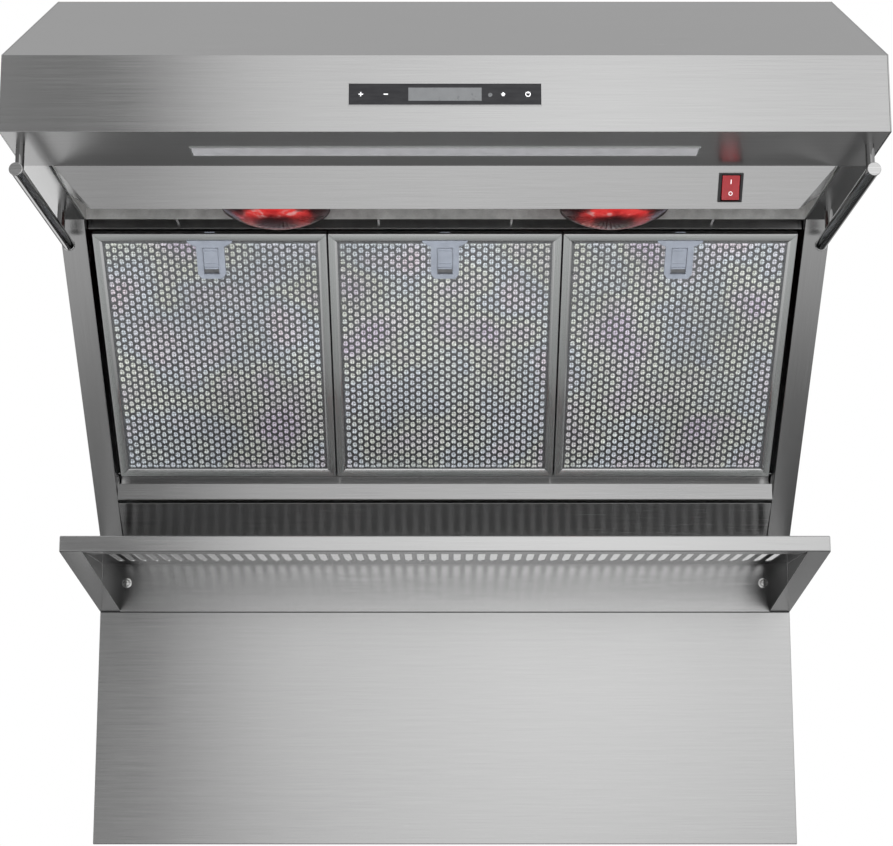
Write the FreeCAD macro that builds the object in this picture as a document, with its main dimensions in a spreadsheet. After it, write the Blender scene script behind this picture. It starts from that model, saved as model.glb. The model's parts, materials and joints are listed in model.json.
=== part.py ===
import FreeCAD, Part
import math
import os

import Sketcher
from FreeCAD import Placement, Rotation, Vector

# Under cabinet range hood, in millimetres. X is the width, Y points into the wall and Z points up.
# The origin is the centre of the four wall bolts, on the plane of the wall.

DIMENSIONS = [
    ("hood_width", 900.0, "outside width over both side panels"),
    ("hood_depth", 565.0, "from the wall to the front fascia"),
    ("top_height", 125.0, "top face above the centre of the wall bolts"),
    ("top_depth", 345.0, "depth of the flat top, under the cabinet"),
    ("slope_drop", 168.0, "height of the sloped front"),
    ("hood_drop", 250.0, "from the top face to the flat underside"),
    ("total_drop", 582.0, "from the top face to the foot of the canopy"),
    ("strip_depth", 92.0, "depth of the flat underside strip"),
    ("slant_start", 305.0, "distance from the wall of the head of the slanted filter plane"),
    ("slant_end", 20.0, "distance from the wall of its foot"),
    ("gauge", 1.2, "steel sheet thickness"),
    ("wing_width", 30.0, "width of the flanges under each side panel"),
    ("rim_height", 18.0, "upturned edge of those flanges"),
    ("lip_half_top", 416.0, "half width of the lip plate at its upper edge"),
    ("lip_half_foot", 380.5, "half width of the lip plate at its lower edge"),
    ("lip_set_back", 26.0, "how far the lip leans back"),
    ("lip_drop", 38.7, "height of the lip"),
    ("gusset_depth", 85.0, "length of the end gussets along the underside"),
    ("pan_head", 180.0, "ceiling of the lamp recess below the top face"),
    ("pan_front", 446.0, "front wall of the lamp recess from the wall"),
    ("pan_back", 307.0, "back wall of the lamp recess from the wall"),
    ("pan_half_width", 418.8, "half width of the lamp recess"),
    ("lamp_offset", 190.0, "lamps from the centre line"),
    ("lamp_depth", 371.0, "lamp axis from the wall"),
    ("lamp_drop", 284.0, "lowest point of a lamp below the top face"),
    ("lamp_radius", 61.5, "widest radius of a lamp"),
    ("lens_radius", 97.5, "radius of the sphere that a lamp's lens is part of"),
    ("lamp_height", 128.0, "height of a lamp's glass"),
    ("lamp_hole_radius", 45.0, "lamp hole in the recess ceiling"),
    ("filter_pitch", 275.8, "distance between filter centres"),
    ("filter_width", 274.3, "outside width of one filter"),
    ("filter_length", 327.5, "length of one filter along the slant"),
    ("filter_head", 17.0, "top edge of the filters below the head of the slant"),
    ("filter_depth", 10.0, "filter frame thickness"),
    ("filter_proud", 2.0, "front of the filter frame in front of the side flanges"),
    ("filter_border", 11.0, "width of the filter frame's bars"),
    ("latch_width", 33.0, "latch housing width"),
    ("latch_length", 45.0, "latch housing length"),
    ("latch_bar_width", 54.0, "bar across the head of the latch housing"),
    ("window_width", 18.0, "finger window width"),
    ("window_length", 33.0, "finger window length"),
    ("tongue_width", 12.0, "latch tongue width"),
    ("fit_gap", 0.3, "clearance round the latch slider"),
    ("gutter_front", 70.0, "front of the grease gutter from the wall"),
    ("gutter_depth", 22.0, "depth of the grease gutter"),
    ("gutter_foot", 540.5, "underside of the grease gutter below the top face"),
    ("rail_offset", 436.5, "side rails from the centre line"),
    ("rail_front", 542.0, "front end of a side rail from the wall"),
    ("rail_length", 235.0, "length of a side rail without its caps"),
    ("rail_radius", 6.5, "outside radius of a side rail"),
    ("rail_drop", 31.0, "rail axis below the underside"),
    ("post_radius", 4.5, "radius of the rail posts"),
    ("post_front_inset", 12.0, "front post from the rail's front end"),
    ("post_back_inset", 40.0, "rear post from the rail's rear end"),
    ("shelf_drop", 613.0, "top of the warming shelf below the top face"),
    ("shelf_depth", 244.0, "front of the warming shelf from the wall"),
    ("shelf_lip", 18.3, "height of the shelf's front edge"),
    ("shelf_side", 64.4, "height of the shelf's sides at the wall"),
    ("shelf_flange", 25.0, "width of the shelf's bottom flanges"),
    ("slot_pitch", 15.5, "distance between shelf slots"),
    ("slot_width", 9.0, "width of a shelf slot"),
    ("slot_columns", 55.0, "number of slots across the shelf"),
    ("shelf_screw_offset", 416.0, "shelf screws from the centre line"),
    ("shelf_screw_drop", 27.0, "shelf screws below the top of the shelf"),
    ("shelf_screw_hole", 2.3, "radius of the shelf screw holes"),
    ("splash_head", 583.0, "top of the backsplash below the top face"),
    ("splash_foot", 976.0, "bottom of the backsplash below the top face"),
    ("splash_depth", 6.0, "depth of the backsplash tray"),
    ("collar_radius", 75.0, "outside radius of the duct collar"),
    ("collar_height", 30.0, "height of the duct collar"),
    ("collar_wall", 1.0, "wall of the duct collar"),
    ("blower_depth", 170.0, "blower axis and duct axis from the wall"),
    ("blower_drop", 135.0, "blower axis below the top face"),
    ("scroll_radius", 112.0, "outside radius of the blower scroll"),
    ("scroll_width", 160.0, "width of the blower scroll"),
    ("neck_width", 150.0, "outside size of the blower's outlet neck"),
    ("inlet_radius", 78.0, "blower inlet holes"),
    ("wheel_radius", 95.0, "outside radius of the impeller"),
    ("wheel_width", 136.0, "length of the impeller"),
    ("blade_count", 36.0, "impeller blades"),
    ("shaft_radius", 4.0, "motor shaft"),
    ("glass_width", 196.0, "control glass width"),
    ("glass_height", 24.0, "control glass height"),
    ("glass_drop", 210.5, "centre of the control glass below the top face"),
    ("bar_length", 528.0, "light bar length"),
    ("bar_width", 24.0, "light bar width"),
    ("bar_depth", 513.5, "centre of the light bar from the wall"),
    ("rocker_offset", 305.0, "rocker switch from the centre line"),
    ("bezel_width", 26.0, "rocker bezel width"),
    ("bezel_length", 31.0, "rocker bezel length"),
    ("wall_bolt_across", 640.0, "wall bolt spacing across"),
    ("wall_bolt_up", 160.0, "wall bolt spacing up"),
    ("wall_bolt_radius", 4.0, "wall bolt hole radius"),
    ("top_bolt_across", 720.0, "cabinet screw spacing across"),
    ("top_bolt_deep", 230.0, "cabinet screw spacing front to back"),
    ("top_bolt_radius", 3.5, "cabinet screw hole radius"),
]

doc = FreeCAD.newDocument("range_hood")
sheet = doc.addObject("Spreadsheet::Sheet", "dims")
for row, (alias, number, meaning) in enumerate(DIMENSIONS, start=1):
    sheet.set(f"A{row}", alias)
    sheet.set(f"B{row}", str(number))
    sheet.set(f"C{row}", meaning)
    sheet.setAlias(f"B{row}", alias)
doc.recompute()

sub_parts = []
X_AXIS = Vector(1, 0, 0)
Y_AXIS = Vector(0, 1, 0)
Z_AXIS = Vector(0, 0, 1)


def dim(alias):
    """A driving dimension, read from the sheet."""
    return float(sheet.get(alias))


def keep(item, label):
    """Records a finished sub-part under its label."""
    item.Label = label
    sub_parts.append(item)
    return item


# ---------------------------------------------------------------- building helpers


def box(name, size, corner):
    """A Part::Box whose size and corner are expressions on the sheet."""
    item = doc.addObject("Part::Box", name)
    for prop, expression in zip(("Length", "Width", "Height"), size):
        item.setExpression(prop, expression)
    for axis, expression in zip("xyz", corner):
        item.setExpression(".Placement.Base." + axis, expression)
    return item


def rod(name, radius, length, start, axis=Z_AXIS):
    """A Part::Cylinder along an axis, with its radius and length as expressions on the sheet."""
    item = doc.addObject("Part::Cylinder", name)
    item.setExpression("Radius", radius)
    item.setExpression("Height", length)
    item.Placement = Placement(Vector(*start), Rotation(Z_AXIS, axis))
    return item


def cut(name, base, tool):
    """Base without tool, as a Part::Cut."""
    item = doc.addObject("Part::Cut", name)
    item.Base = base
    item.Tool = tool
    return item


def fuse(name, pieces):
    """The pieces joined, as a Part::MultiFuse; a single piece is returned as it is."""
    if len(pieces) == 1:
        return pieces[0]
    item = doc.addObject("Part::MultiFuse", name)
    item.Shapes = pieces
    return item


def common(name, base, tool):
    """The space that base and tool share, as a Part::Common."""
    item = doc.addObject("Part::Common", name)
    item.Base = base
    item.Tool = tool
    return item


def new_body(name):
    return doc.addObject("PartDesign::Body", name)


def add_sketch(body, role, loops, offset="0"):
    """A sketch on one of the body's origin planes, holding closed polygons, circles and slots."""
    sketch = body.newObject("Sketcher::SketchObject", body.Name + "_sketch")
    plane = next(item for item in body.Origin.OriginFeatures if item.Role == role)
    sketch.AttachmentSupport = [(plane, "")]
    sketch.MapMode = "FlatFace"
    sketch.setExpression(".AttachmentOffset.Base.z", offset)
    for loop in loops:
        if loop[0] == "circle":
            centre = Vector(*loop[1], 0)
            sketch.addGeometry(Part.Circle(centre, Z_AXIS, loop[2]))
            continue
        if loop[0] == "slot":
            sketch.addGeometry(slot_outline(*loop[1:]))
            continue
        first = sketch.GeometryCount
        count = len(loop)
        for index in range(count):
            start = Vector(*loop[index], 0)
            end = Vector(*loop[(index + 1) % count], 0)
            sketch.addGeometry(Part.LineSegment(start, end))
        for index in range(count):
            after = first + (index + 1) % count
            sketch.addConstraint(Sketcher.Constraint("Coincident", first + index, 2, after, 1))
    return sketch


def slot_outline(x, near, far, radius):
    """A round-ended slot along Y between two end points of its outline."""
    near_centre = Vector(x, near - radius, 0)
    far_centre = Vector(x, far + radius, 0)
    side = Vector(radius, 0, 0)
    return [
        Part.ArcOfCircle(Part.Circle(near_centre, Z_AXIS, radius), 0, math.pi),
        Part.LineSegment(near_centre - side, far_centre - side),
        Part.ArcOfCircle(Part.Circle(far_centre, Z_AXIS, radius), math.pi, 2 * math.pi),
        Part.LineSegment(far_centre + side, near_centre + side),
    ]


def add_pad(body, sketch, length, midplane=False):
    """A pad along the sketch's normal, with its length as an expression."""
    pad = body.newObject("PartDesign::Pad", body.Name + "_pad")
    pad.Profile = sketch
    pad.Midplane = midplane
    pad.setExpression("Length", length)
    body.Tip = pad
    return pad


def add_pocket(body, sketch, length, midplane=True):
    """A pocket to both sides of its sketch, checked to have removed material."""
    body.recompute(True)
    before = body.Shape.Volume
    pocket = body.newObject("PartDesign::Pocket", body.Name + "_pocket")
    pocket.Profile = sketch
    pocket.Midplane = midplane
    pocket.setExpression("Length", length)
    body.Tip = pocket
    body.recompute(True)
    if body.Shape.Volume > before - 1.0:
        raise RuntimeError(body.Name + ": a pocket removed nothing")
    return pocket


def profile_body(name, sections):
    """Pads along X. Each section is a loop in Y and Z, its first X and its length."""
    body = new_body(name)
    for loop, start, length in sections:
        add_pad(body, add_sketch(body, "YZ_Plane", [loop], start), length)
    return body


def turned_body(name, profile):
    """A closed profile of radius and height, turned about Z."""
    body = new_body(name)
    sketch = add_sketch(body, "XZ_Plane", [profile])
    turn = body.newObject("PartDesign::Revolution", name + "_turn")
    turn.Profile = sketch
    turn.ReferenceAxis = (sketch, ["V_Axis"])
    turn.Angle = 360
    body.Tip = turn
    return body


def offset_path(path, distance):
    """The path moved to its left by a distance, with mitred corners."""
    normals = []
    for start, end in zip(path, path[1:]):
        run = math.dist(start, end)
        normals.append(((start[1] - end[1]) / run, (end[0] - start[0]) / run))
    moved = []
    for index, point in enumerate(path):
        before = normals[max(index - 1, 0)]
        after = normals[min(index, len(normals) - 1)]
        mitre = distance / (1 + before[0] * after[0] + before[1] * after[1])
        moved.append((point[0] + mitre * (before[0] + after[0]),
                      point[1] + mitre * (before[1] + after[1])))
    return moved


def bent_sheet(path, thickness):
    """The closed outline of a bent sheet whose outer face follows the path."""
    return path + offset_path(path, thickness)[::-1]


def arc_points(centre, radius, start, end, steps):
    """Points along an arc, with its angles in degrees."""
    points = []
    for step in range(steps + 1):
        angle = math.radians(start + (end - start) * step / steps)
        points.append((centre[0] + radius * math.cos(angle), centre[1] + radius * math.sin(angle)))
    return points


# ---------------------------------------------------------------- levels and frames shared by the parts

top = dim("top_height")
gauge = dim("gauge")
half_width = dim("hood_width") / 2
underside = top - dim("hood_drop")
fascia_y = -dim("hood_depth")
strip_end_y = fascia_y + dim("strip_depth")
slant_head = (-dim("slant_start"), underside)
slant_foot = (-dim("slant_end"), top - dim("total_drop"))
slant_angle = math.atan2(slant_foot[1] - slant_head[1], slant_foot[0] - slant_head[0])
wing_inner = half_width - dim("wing_width")
blower_centre = Vector(0, -dim("blower_depth"), top - dim("blower_drop"))

# In the slanted frames, Y runs down the slope and Z points into the hood.
slant_frame = Placement(Vector(0, *slant_head), Rotation(X_AXIS, math.degrees(slant_angle)))
lip_angle = -math.degrees(math.atan2(dim("lip_drop"), dim("lip_set_back")))
lip_frame = Placement(Vector(0, strip_end_y, underside), Rotation(X_AXIS, lip_angle))
lip_length = math.hypot(dim("lip_drop"), dim("lip_set_back"))


# ---------------------------------------------------------------- canopy


def make_canopy_shell():
    """Top, sloped front, fascia and underside strip, folded from one sheet."""
    path = [
        (0, top),
        (-dim("top_depth"), top),
        (fascia_y, top - dim("slope_drop")),
        (fascia_y, underside),
        (strip_end_y, underside),
    ]
    fold = new_body("canopy_fold")
    sketch = add_sketch(fold, "YZ_Plane", [bent_sheet(path, gauge)])
    add_pad(fold, sketch, "dims.hood_width - 2 * dims.gauge", midplane=True)

    tools = [rod("duct_hole", "dims.collar_radius - dims.collar_wall", "10",
                 (0, blower_centre.y, top - 5))]
    for index, (side_x, side_y) in enumerate([(-1, -1), (1, -1), (-1, 1), (1, 1)]):
        centre_y = -dim("top_depth") / 2
        tools.append(rod(f"top_bolt_hole_{index}", "dims.top_bolt_radius", "10",
                         (side_x * dim("top_bolt_across") / 2,
                          centre_y + side_y * dim("top_bolt_deep") / 2, top - 5)))
    tools.append(rod("cable_hole", "11", "10", (300, -110, top - 5)))
    tools.append(box("glass_window", ("dims.glass_width - 16", "10", "dims.glass_height - 8"),
                     ("-dims.glass_width / 2 + 8", "-dims.hood_depth - 5",
                      "dims.top_height - dims.glass_drop - dims.glass_height / 2 + 4")))
    tools.append(box("light_slot", ("dims.bar_length - 8", "dims.bar_width - 6", "10"),
                     ("-dims.bar_length / 2 + 4", "-dims.bar_depth - dims.bar_width / 2 + 3",
                      "dims.top_height - dims.hood_drop - 5")))
    keep(cut("canopy_cut", fold, fuse("canopy_tools", tools)), "canopy_shell")


def make_side_panel(side, label):
    """One end of the canopy with its folded flanges under the wing and down the slant."""
    outline = [
        (0, top),
        (-dim("top_depth"), top),
        (fascia_y, top - dim("slope_drop")),
        (fascia_y, underside),
        slant_head,
        slant_foot,
        (0, slant_foot[1]),
    ]
    flange_path = [(strip_end_y, underside), slant_head, slant_foot]
    flange = bent_sheet(flange_path, gauge)
    rim = bent_sheet(flange_path, dim("rim_height"))
    if side > 0:
        sections = [
            (outline, "dims.hood_width / 2 - dims.gauge", "dims.gauge"),
            (flange, "dims.hood_width / 2 - dims.wing_width", "dims.wing_width - dims.gauge"),
            (rim, "dims.hood_width / 2 - dims.wing_width", "dims.gauge"),
        ]
    else:
        sections = [
            (outline, "-dims.hood_width / 2", "dims.gauge"),
            (flange, "-dims.hood_width / 2 + dims.gauge", "dims.wing_width - dims.gauge"),
            (rim, "-dims.hood_width / 2 + dims.wing_width - dims.gauge", "dims.gauge"),
        ]
    keep(profile_body(label + "_body", sections), label)


def make_back_panel():
    """The flat back with its four wall bolt holes."""
    plate = box("back_plate",
                ("dims.hood_width - 2 * dims.gauge", "dims.gauge", "dims.total_drop - 2 * dims.gauge"),
                ("-dims.hood_width / 2 + dims.gauge", "-dims.gauge",
                 "dims.top_height - dims.total_drop + dims.gauge"))
    holes = []
    for index, (side_x, side_z) in enumerate([(-1, -1), (1, -1), (-1, 1), (1, 1)]):
        start = (side_x * dim("wall_bolt_across") / 2, -5, side_z * dim("wall_bolt_up") / 2)
        holes.append(rod(f"wall_hole_{index}", "dims.wall_bolt_radius", "10", start, Y_AXIS))
    keep(cut("back_cut", plate, fuse("wall_holes", holes)), "back_panel")


def make_lower_panel():
    """The slanted panel between the grease gutter and the wall."""
    path = [(-64, top - dim("gutter_foot") - 3.5), (-22, slant_foot[1]), (-2, slant_foot[1])]
    body = new_body("lower_fold")
    sketch = add_sketch(body, "YZ_Plane", [bent_sheet(path, gauge)])
    add_pad(body, sketch, "2 * dims.pan_half_width", midplane=True)
    keep(body, "lower_panel")


def make_grease_gutter():
    """The bright channel under the filters, which catches the grease that runs down them."""
    foot = top - dim("gutter_foot")
    front = -dim("gutter_front")
    back = front + dim("gutter_depth")
    path = [(front, foot + 35), (back, foot + 35), (back, foot), (front, foot), (front, foot + 21)]
    body = new_body("gutter_fold")
    sketch = add_sketch(body, "YZ_Plane", [bent_sheet(path, -gauge)])
    add_pad(body, sketch, "2 * dims.pan_half_width", midplane=True)
    keep(body, "grease_gutter")


# ---------------------------------------------------------------- lamp recess, lip and rocker


def make_lamp_pan():
    """The recess that the lamps hang in, open at the bottom."""
    ceiling = top - dim("pan_head")
    front = -dim("pan_front")
    back = -dim("pan_back")
    flange_z = underside + gauge + 0.1
    path = [
        (strip_end_y + 2, flange_z),
        (front, flange_z),
        (front, ceiling),
        (back, ceiling),
        (back, underside),
    ]
    end_plate = [(front, ceiling), (back, ceiling), (back, underside), (front, underside)]
    body = profile_body("pan_body", [
        (bent_sheet(path, gauge), "-dims.pan_half_width", "2 * dims.pan_half_width"),
        (end_plate, "-dims.pan_half_width", "dims.gauge"),
        (end_plate, "dims.pan_half_width - dims.gauge", "dims.gauge"),
    ])
    openings = [rod(f"lamp_hole_{side}", "dims.lamp_hole_radius", "10",
                    (side * dim("lamp_offset"), -dim("lamp_depth"), ceiling - 5))
                for side in (-1, 1)]
    openings.append(box("rocker_notch", ("28", "14", "4"),
                        ("dims.rocker_offset - 14", "-dims.pan_front - 18",
                         "dims.top_height - dims.hood_drop")))
    return keep(cut("pan_cut", body, fuse("pan_openings", openings)), "lamp_pan")


def make_lip(pan):
    """The bright lip in front of the lamps, with its window for the rocker, and its end gussets."""
    body = new_body("lip_body")
    wide = dim("lip_half_top")
    narrow = dim("lip_half_foot")
    outline = [(-wide, 0), (wide, 0), (narrow, lip_length), (-narrow, lip_length)]
    hole_x = dim("rocker_offset")
    hole_half = dim("bezel_width") / 2 - 2
    hole_top = lip_length / 2 - dim("bezel_length") / 2 + 1
    hole_foot = lip_length / 2 + dim("bezel_length") / 2 - 1
    hole = [(hole_x - hole_half, hole_top), (hole_x + hole_half, hole_top),
            (hole_x + hole_half, hole_foot), (hole_x - hole_half, hole_foot)]
    add_pad(body, add_sketch(body, "XY_Plane", [outline, hole]), "dims.gauge")
    body.Placement = lip_frame
    keep(body, "lamp_baffle")

    gussets = []
    for side in (-1, 1):
        head = Vector(side * wide, strip_end_y, underside)
        foot = Vector(side * narrow, strip_end_y + dim("lip_set_back"), underside - dim("lip_drop"))
        tail = Vector(side * (wing_inner - 1.5), strip_end_y + dim("gusset_depth"), underside)
        facing = (foot - head).cross(tail - head)
        facing.normalize()
        inward = facing if facing.z > 0 else facing * -1
        triangle = Part.Face(Part.makePolygon([head, foot, tail, head]))
        gussets.append(triangle.extrude(inward * gauge))
    blanks = doc.addObject("Part::Feature", "gusset_blanks")
    blanks.Shape = Part.makeCompound(gussets)
    keep(cut("gusset_cut", blanks, fuse("gusset_neighbours", [body, pan])), "lip_gussets")


def make_rocker():
    """The rocker switch: a bezel through the lip and the rocker that tips in it."""
    middle = lip_length / 2
    flange = box("bezel_flange", ("dims.bezel_width", "dims.bezel_length", "2"),
                 ("dims.rocker_offset - dims.bezel_width / 2", f"{middle} - dims.bezel_length / 2", "-2"))
    barrel = box("bezel_barrel", ("dims.bezel_width - 4.4", "dims.bezel_length - 2.4", "18"),
                 ("dims.rocker_offset - dims.bezel_width / 2 + 2.2",
                  f"{middle} - dims.bezel_length / 2 + 1.2", "0"))
    well = box("bezel_well", ("20", "28", "18"),
               ("dims.rocker_offset - 10", f"{middle} - 14", "-3"))
    bezel = cut("bezel_cut", fuse("bezel_outer", [flange, barrel]), well)
    bezel.Placement = lip_frame
    keep(bezel, "rocker_bezel")

    rocker = new_body("rocker_body")
    face = [(-13, -4.5), (0, -2.8), (13, -4.5), (12, 6), (-12, 6)]
    add_pad(rocker, add_sketch(rocker, "YZ_Plane", [face]), "18.8", midplane=True)
    pivot = Placement(Vector(dim("rocker_offset"), middle, 1.0), Rotation(X_AXIS, -8))
    rocker.Placement = lip_frame.multiply(pivot)
    keep(rocker, "rocker_button")


def make_lamps():
    """Two screw-in reflector heat lamps with their sockets, trim rings and shared bracket."""
    height = dim("lamp_height")
    lens = arc_points((0, dim("lens_radius")), dim("lens_radius"), -90, -52, 8)
    glass_profile = lens + [(dim("lamp_radius"), 27), (20, height - 10), (14, height), (0, height)]
    rings = []
    bases = []
    sockets = []
    for side, name in ((-1, "left"), (1, "right")):
        spot = Vector(side * dim("lamp_offset"), -dim("lamp_depth"), top - dim("lamp_drop"))
        glass = turned_body("glass_" + name, glass_profile)
        glass.Placement = Placement(spot, Rotation())
        keep(glass, "heat_lamp_" + name)
        bases.append(rod("base_" + name, "13.2", "24", spot + Vector(0, 0, height)))
        shell = rod("socket_shell_" + name, "20", "44", spot + Vector(0, 0, height + 4))
        bore = rod("socket_bore_" + name, "13.4", "20.5", spot + Vector(0, 0, height + 3.5))
        sockets.append(cut("socket_" + name, shell, bore))
        ring_z = top - dim("pan_head") - 3
        outer = rod("ring_outer_" + name, "dims.lamp_hole_radius + 9", "3", (spot.x, spot.y, ring_z))
        inner = rod("ring_inner_" + name, "dims.lamp_hole_radius", "5", (spot.x, spot.y, ring_z - 1))
        rings.append(cut("ring_" + name, outer, inner))
    keep(fuse("base_pair", bases), "lamp_bases")
    keep(fuse("socket_pair", sockets), "lamp_sockets")
    keep(fuse("ring_pair", rings), "lamp_rings")

    foot_z = top - dim("pan_head") + gauge
    head_z = top - dim("lamp_drop") + 176 + 1.5
    path = [(-260, foot_z), (-260, head_z), (260, head_z), (260, foot_z)]
    body = new_body("bracket_body")
    sketch = add_sketch(body, "XZ_Plane", [bent_sheet(path, -1.5)], "dims.lamp_depth")
    add_pad(body, sketch, "40", midplane=True)
    keep(body, "socket_bracket")


# ---------------------------------------------------------------- filters


def make_filter_rail():
    """The channel that the filters' top edges seat in, and its four spring clips."""
    path = [(-287, top - 255.5), (-287, top - 212), (-305, top - 212)]
    body = new_body("rail_fold")
    sketch = add_sketch(body, "YZ_Plane", [bent_sheet(path, gauge)])
    add_pad(body, sketch, "2 * dims.pan_half_width", midplane=True)
    keep(body, "filter_rail")

    clip_spots = (-314, -78, 78, 314)
    clips = [box(f"clip_{index}", ("8", "9", "1"), (str(x - 4), "-297.5", "dims.top_height - 247"))
             for index, x in enumerate(clip_spots)]
    keep(fuse("clip_group", clips), "filter_clips")


def make_filter(number, centre):
    """One grease filter: frame, mesh pack, latch housing and sliding latch, in the slanted frame."""
    tag = f"_{number}"
    left = centre - dim("filter_width") / 2
    head = "dims.filter_head"
    front = "-dims.filter_proud"
    outer = box("frame_outer" + tag, ("dims.filter_width", "dims.filter_length", "dims.filter_depth"),
                (f"{left}", head, front))
    opening = box("frame_opening" + tag,
                  ("dims.filter_width - 2 * dims.filter_border",
                   "dims.filter_length - 2 * dims.filter_border", "dims.filter_depth + 2"),
                  (f"{left} + dims.filter_border", head + " + dims.filter_border", front + " - 1"))
    notch = box("frame_notch" + tag, ("dims.tongue_width + 1", "dims.filter_border + 2", "2.6"),
                (f"{centre} - dims.tongue_width / 2 - 0.5", head + " - 1", "1.7"))
    frame = cut("frame_cut" + tag, outer, fuse("frame_tools" + tag, [opening, notch]))
    frame.Placement = slant_frame
    keep(frame, f"filter_frame_{number}")

    pack = box("mesh_pack" + tag,
               ("dims.filter_width - 2 * dims.filter_border",
                "dims.filter_length - 2 * dims.filter_border", "6.6"),
               (f"{left} + dims.filter_border", head + " + dims.filter_border", "-0.6"))
    seat = box("mesh_seat" + tag, ("dims.latch_width", "dims.latch_length + 1", "10"),
               (f"{centre} - dims.latch_width / 2", head + " + dims.filter_border - 1", "-2"))
    mesh = cut("mesh_cut" + tag, pack, seat)
    mesh.Placement = slant_frame
    keep(mesh, f"filter_mesh_{number}")

    latch_head = head + " + dims.filter_border"
    window_head = latch_head + " + 6"
    block = box("latch_block" + tag, ("dims.latch_width", "dims.latch_length", "9"),
                (f"{centre} - dims.latch_width / 2", latch_head, "-3"))
    bar = box("latch_bar" + tag, ("dims.latch_bar_width", "5", "1.4"),
              (f"{centre} - dims.latch_bar_width / 2", latch_head + " - 3", "-3.4"))
    window = box("latch_window" + tag, ("dims.window_width", "dims.window_length", "8"),
                 (f"{centre} - dims.window_width / 2", window_head, "-3.5"))
    slot = box("latch_slot" + tag, ("dims.tongue_width + 1", "8", "2.6"),
               (f"{centre} - dims.tongue_width / 2 - 0.5", latch_head + " - 1", "1.7"))
    housing = cut("housing_cut" + tag, fuse("housing_outer" + tag, [block, bar]),
                  fuse("housing_tools" + tag, [window, slot]))
    housing.Placement = slant_frame
    keep(housing, f"latch_housing_{number}")

    slider = box("slider_plate" + tag, ("dims.window_width - 2 * dims.fit_gap", "26", "5.5"),
                 (f"{centre} - dims.window_width / 2 + dims.fit_gap", window_head + " + 1", "-1.5"))
    grip = box("slider_grip" + tag, ("dims.window_width - 6", "9", "3"),
               (f"{centre} - dims.window_width / 2 + 3", window_head + " + 14", "-2.5"))
    tongue = box("slider_tongue" + tag, ("dims.tongue_width", "19", "2"),
                 (f"{centre} - dims.tongue_width / 2", head + " - 0.5", "2"))
    latch = fuse("slider_join" + tag, [cut("slider_cut" + tag, slider, grip), tongue])
    latch.Placement = slant_frame
    keep(latch, f"filter_latch_{number}")


# ---------------------------------------------------------------- side rails


def make_rails():
    """A round rail under each side wing, on two posts, with disc end caps."""
    axis_z = underside - dim("rail_drop")
    posts = []
    caps = []
    cores = []
    for side, name in ((-1, "left"), (1, "right")):
        x = side * dim("rail_offset")
        start = (x, -dim("rail_front"), axis_z)
        outer = rod("rail_outer_" + name, "dims.rail_radius", "dims.rail_length", start, Y_AXIS)
        inner = rod("rail_inner_" + name, "dims.rail_radius - 1.2", "dims.rail_length", start, Y_AXIS)
        keep(cut("rail_cut_" + name, outer, inner), f"{name}_rail")
        cores.append(rod("rail_core_" + name, "dims.rail_radius", "dims.rail_length", start, Y_AXIS))
        rail_back = -dim("rail_front") + dim("rail_length")
        for end, y in (("front", -dim("rail_front") - 2.5), ("back", rail_back)):
            caps.append(rod(f"cap_{name}_{end}", "dims.rail_radius + 0.7", "2.5", (x, y, axis_z), Y_AXIS))
        for end, y in (("front", -dim("rail_front") + dim("post_front_inset")),
                       ("back", rail_back - dim("post_back_inset"))):
            posts.append(rod(f"post_{name}_{end}", "dims.post_radius", "dims.rail_drop", (x, y, axis_z)))
    keep(cut("post_cut", fuse("post_group", posts), fuse("core_group", cores)), "rail_posts")
    keep(fuse("cap_group", caps), "rail_caps")


# ---------------------------------------------------------------- warming shelf and backsplash


def make_shelf():
    """The slotted warming shelf with its tapered sides, bottom flanges and back plate."""
    level = top - dim("shelf_drop")
    front = -dim("shelf_depth")
    back = -dim("splash_depth") - 0.1
    front_foot = level - dim("shelf_lip")
    back_foot = level - dim("shelf_side")
    hem = front + dim("shelf_flange")
    deck = bent_sheet([(back, level), (front, level), (front, front_foot), (hem, front_foot)], gauge)
    side = [(front, level), (back, level), (back, back_foot), (front, front_foot)]
    flange = bent_sheet([(front, front_foot), (back, back_foot)], gauge)
    rear = [(back - gauge, back_foot + 2), (back, back_foot + 2), (back, level), (back - gauge, level)]
    body = profile_body("shelf_body", [
        (deck, "-dims.hood_width / 2 + dims.gauge", "dims.hood_width - 2 * dims.gauge"),
        (side, "-dims.hood_width / 2", "dims.gauge"),
        (side, "dims.hood_width / 2 - dims.gauge", "dims.gauge"),
        (flange, "-dims.hood_width / 2 + dims.gauge", "dims.shelf_flange"),
        (flange, "dims.hood_width / 2 - dims.gauge - dims.shelf_flange", "dims.shelf_flange"),
        (rear, "-dims.hood_width / 2 + dims.gauge", "dims.hood_width - 2 * dims.gauge"),
    ])
    columns = int(dim("slot_columns"))
    slots = []
    for column in range(columns):
        x = (column - (columns - 1) / 2) * dim("slot_pitch")
        for near, far in ((-30, -114), (-130, -214)):
            slots.append(("slot", x, near, far, dim("slot_width") / 2))
    sketch = add_sketch(body, "XY_Plane", slots, "dims.top_height - dims.shelf_drop")
    add_pocket(body, sketch, "6")
    holes = fuse("shelf_holes", screw_rods("shelf_hole"))
    keep(cut("shelf_cut", body, holes), "warming_shelf")


def screw_rods(name):
    """A hole-sized rod along Y, through the back plate and the backsplash, at each shelf screw."""
    offset = dim("shelf_screw_offset")
    level = top - dim("shelf_drop") - dim("shelf_screw_drop")
    return [rod(f"{name}_{side}", "dims.shelf_screw_hole", "20", (side * offset, -15, level), Y_AXIS)
            for side in (-1, 1)]


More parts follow.
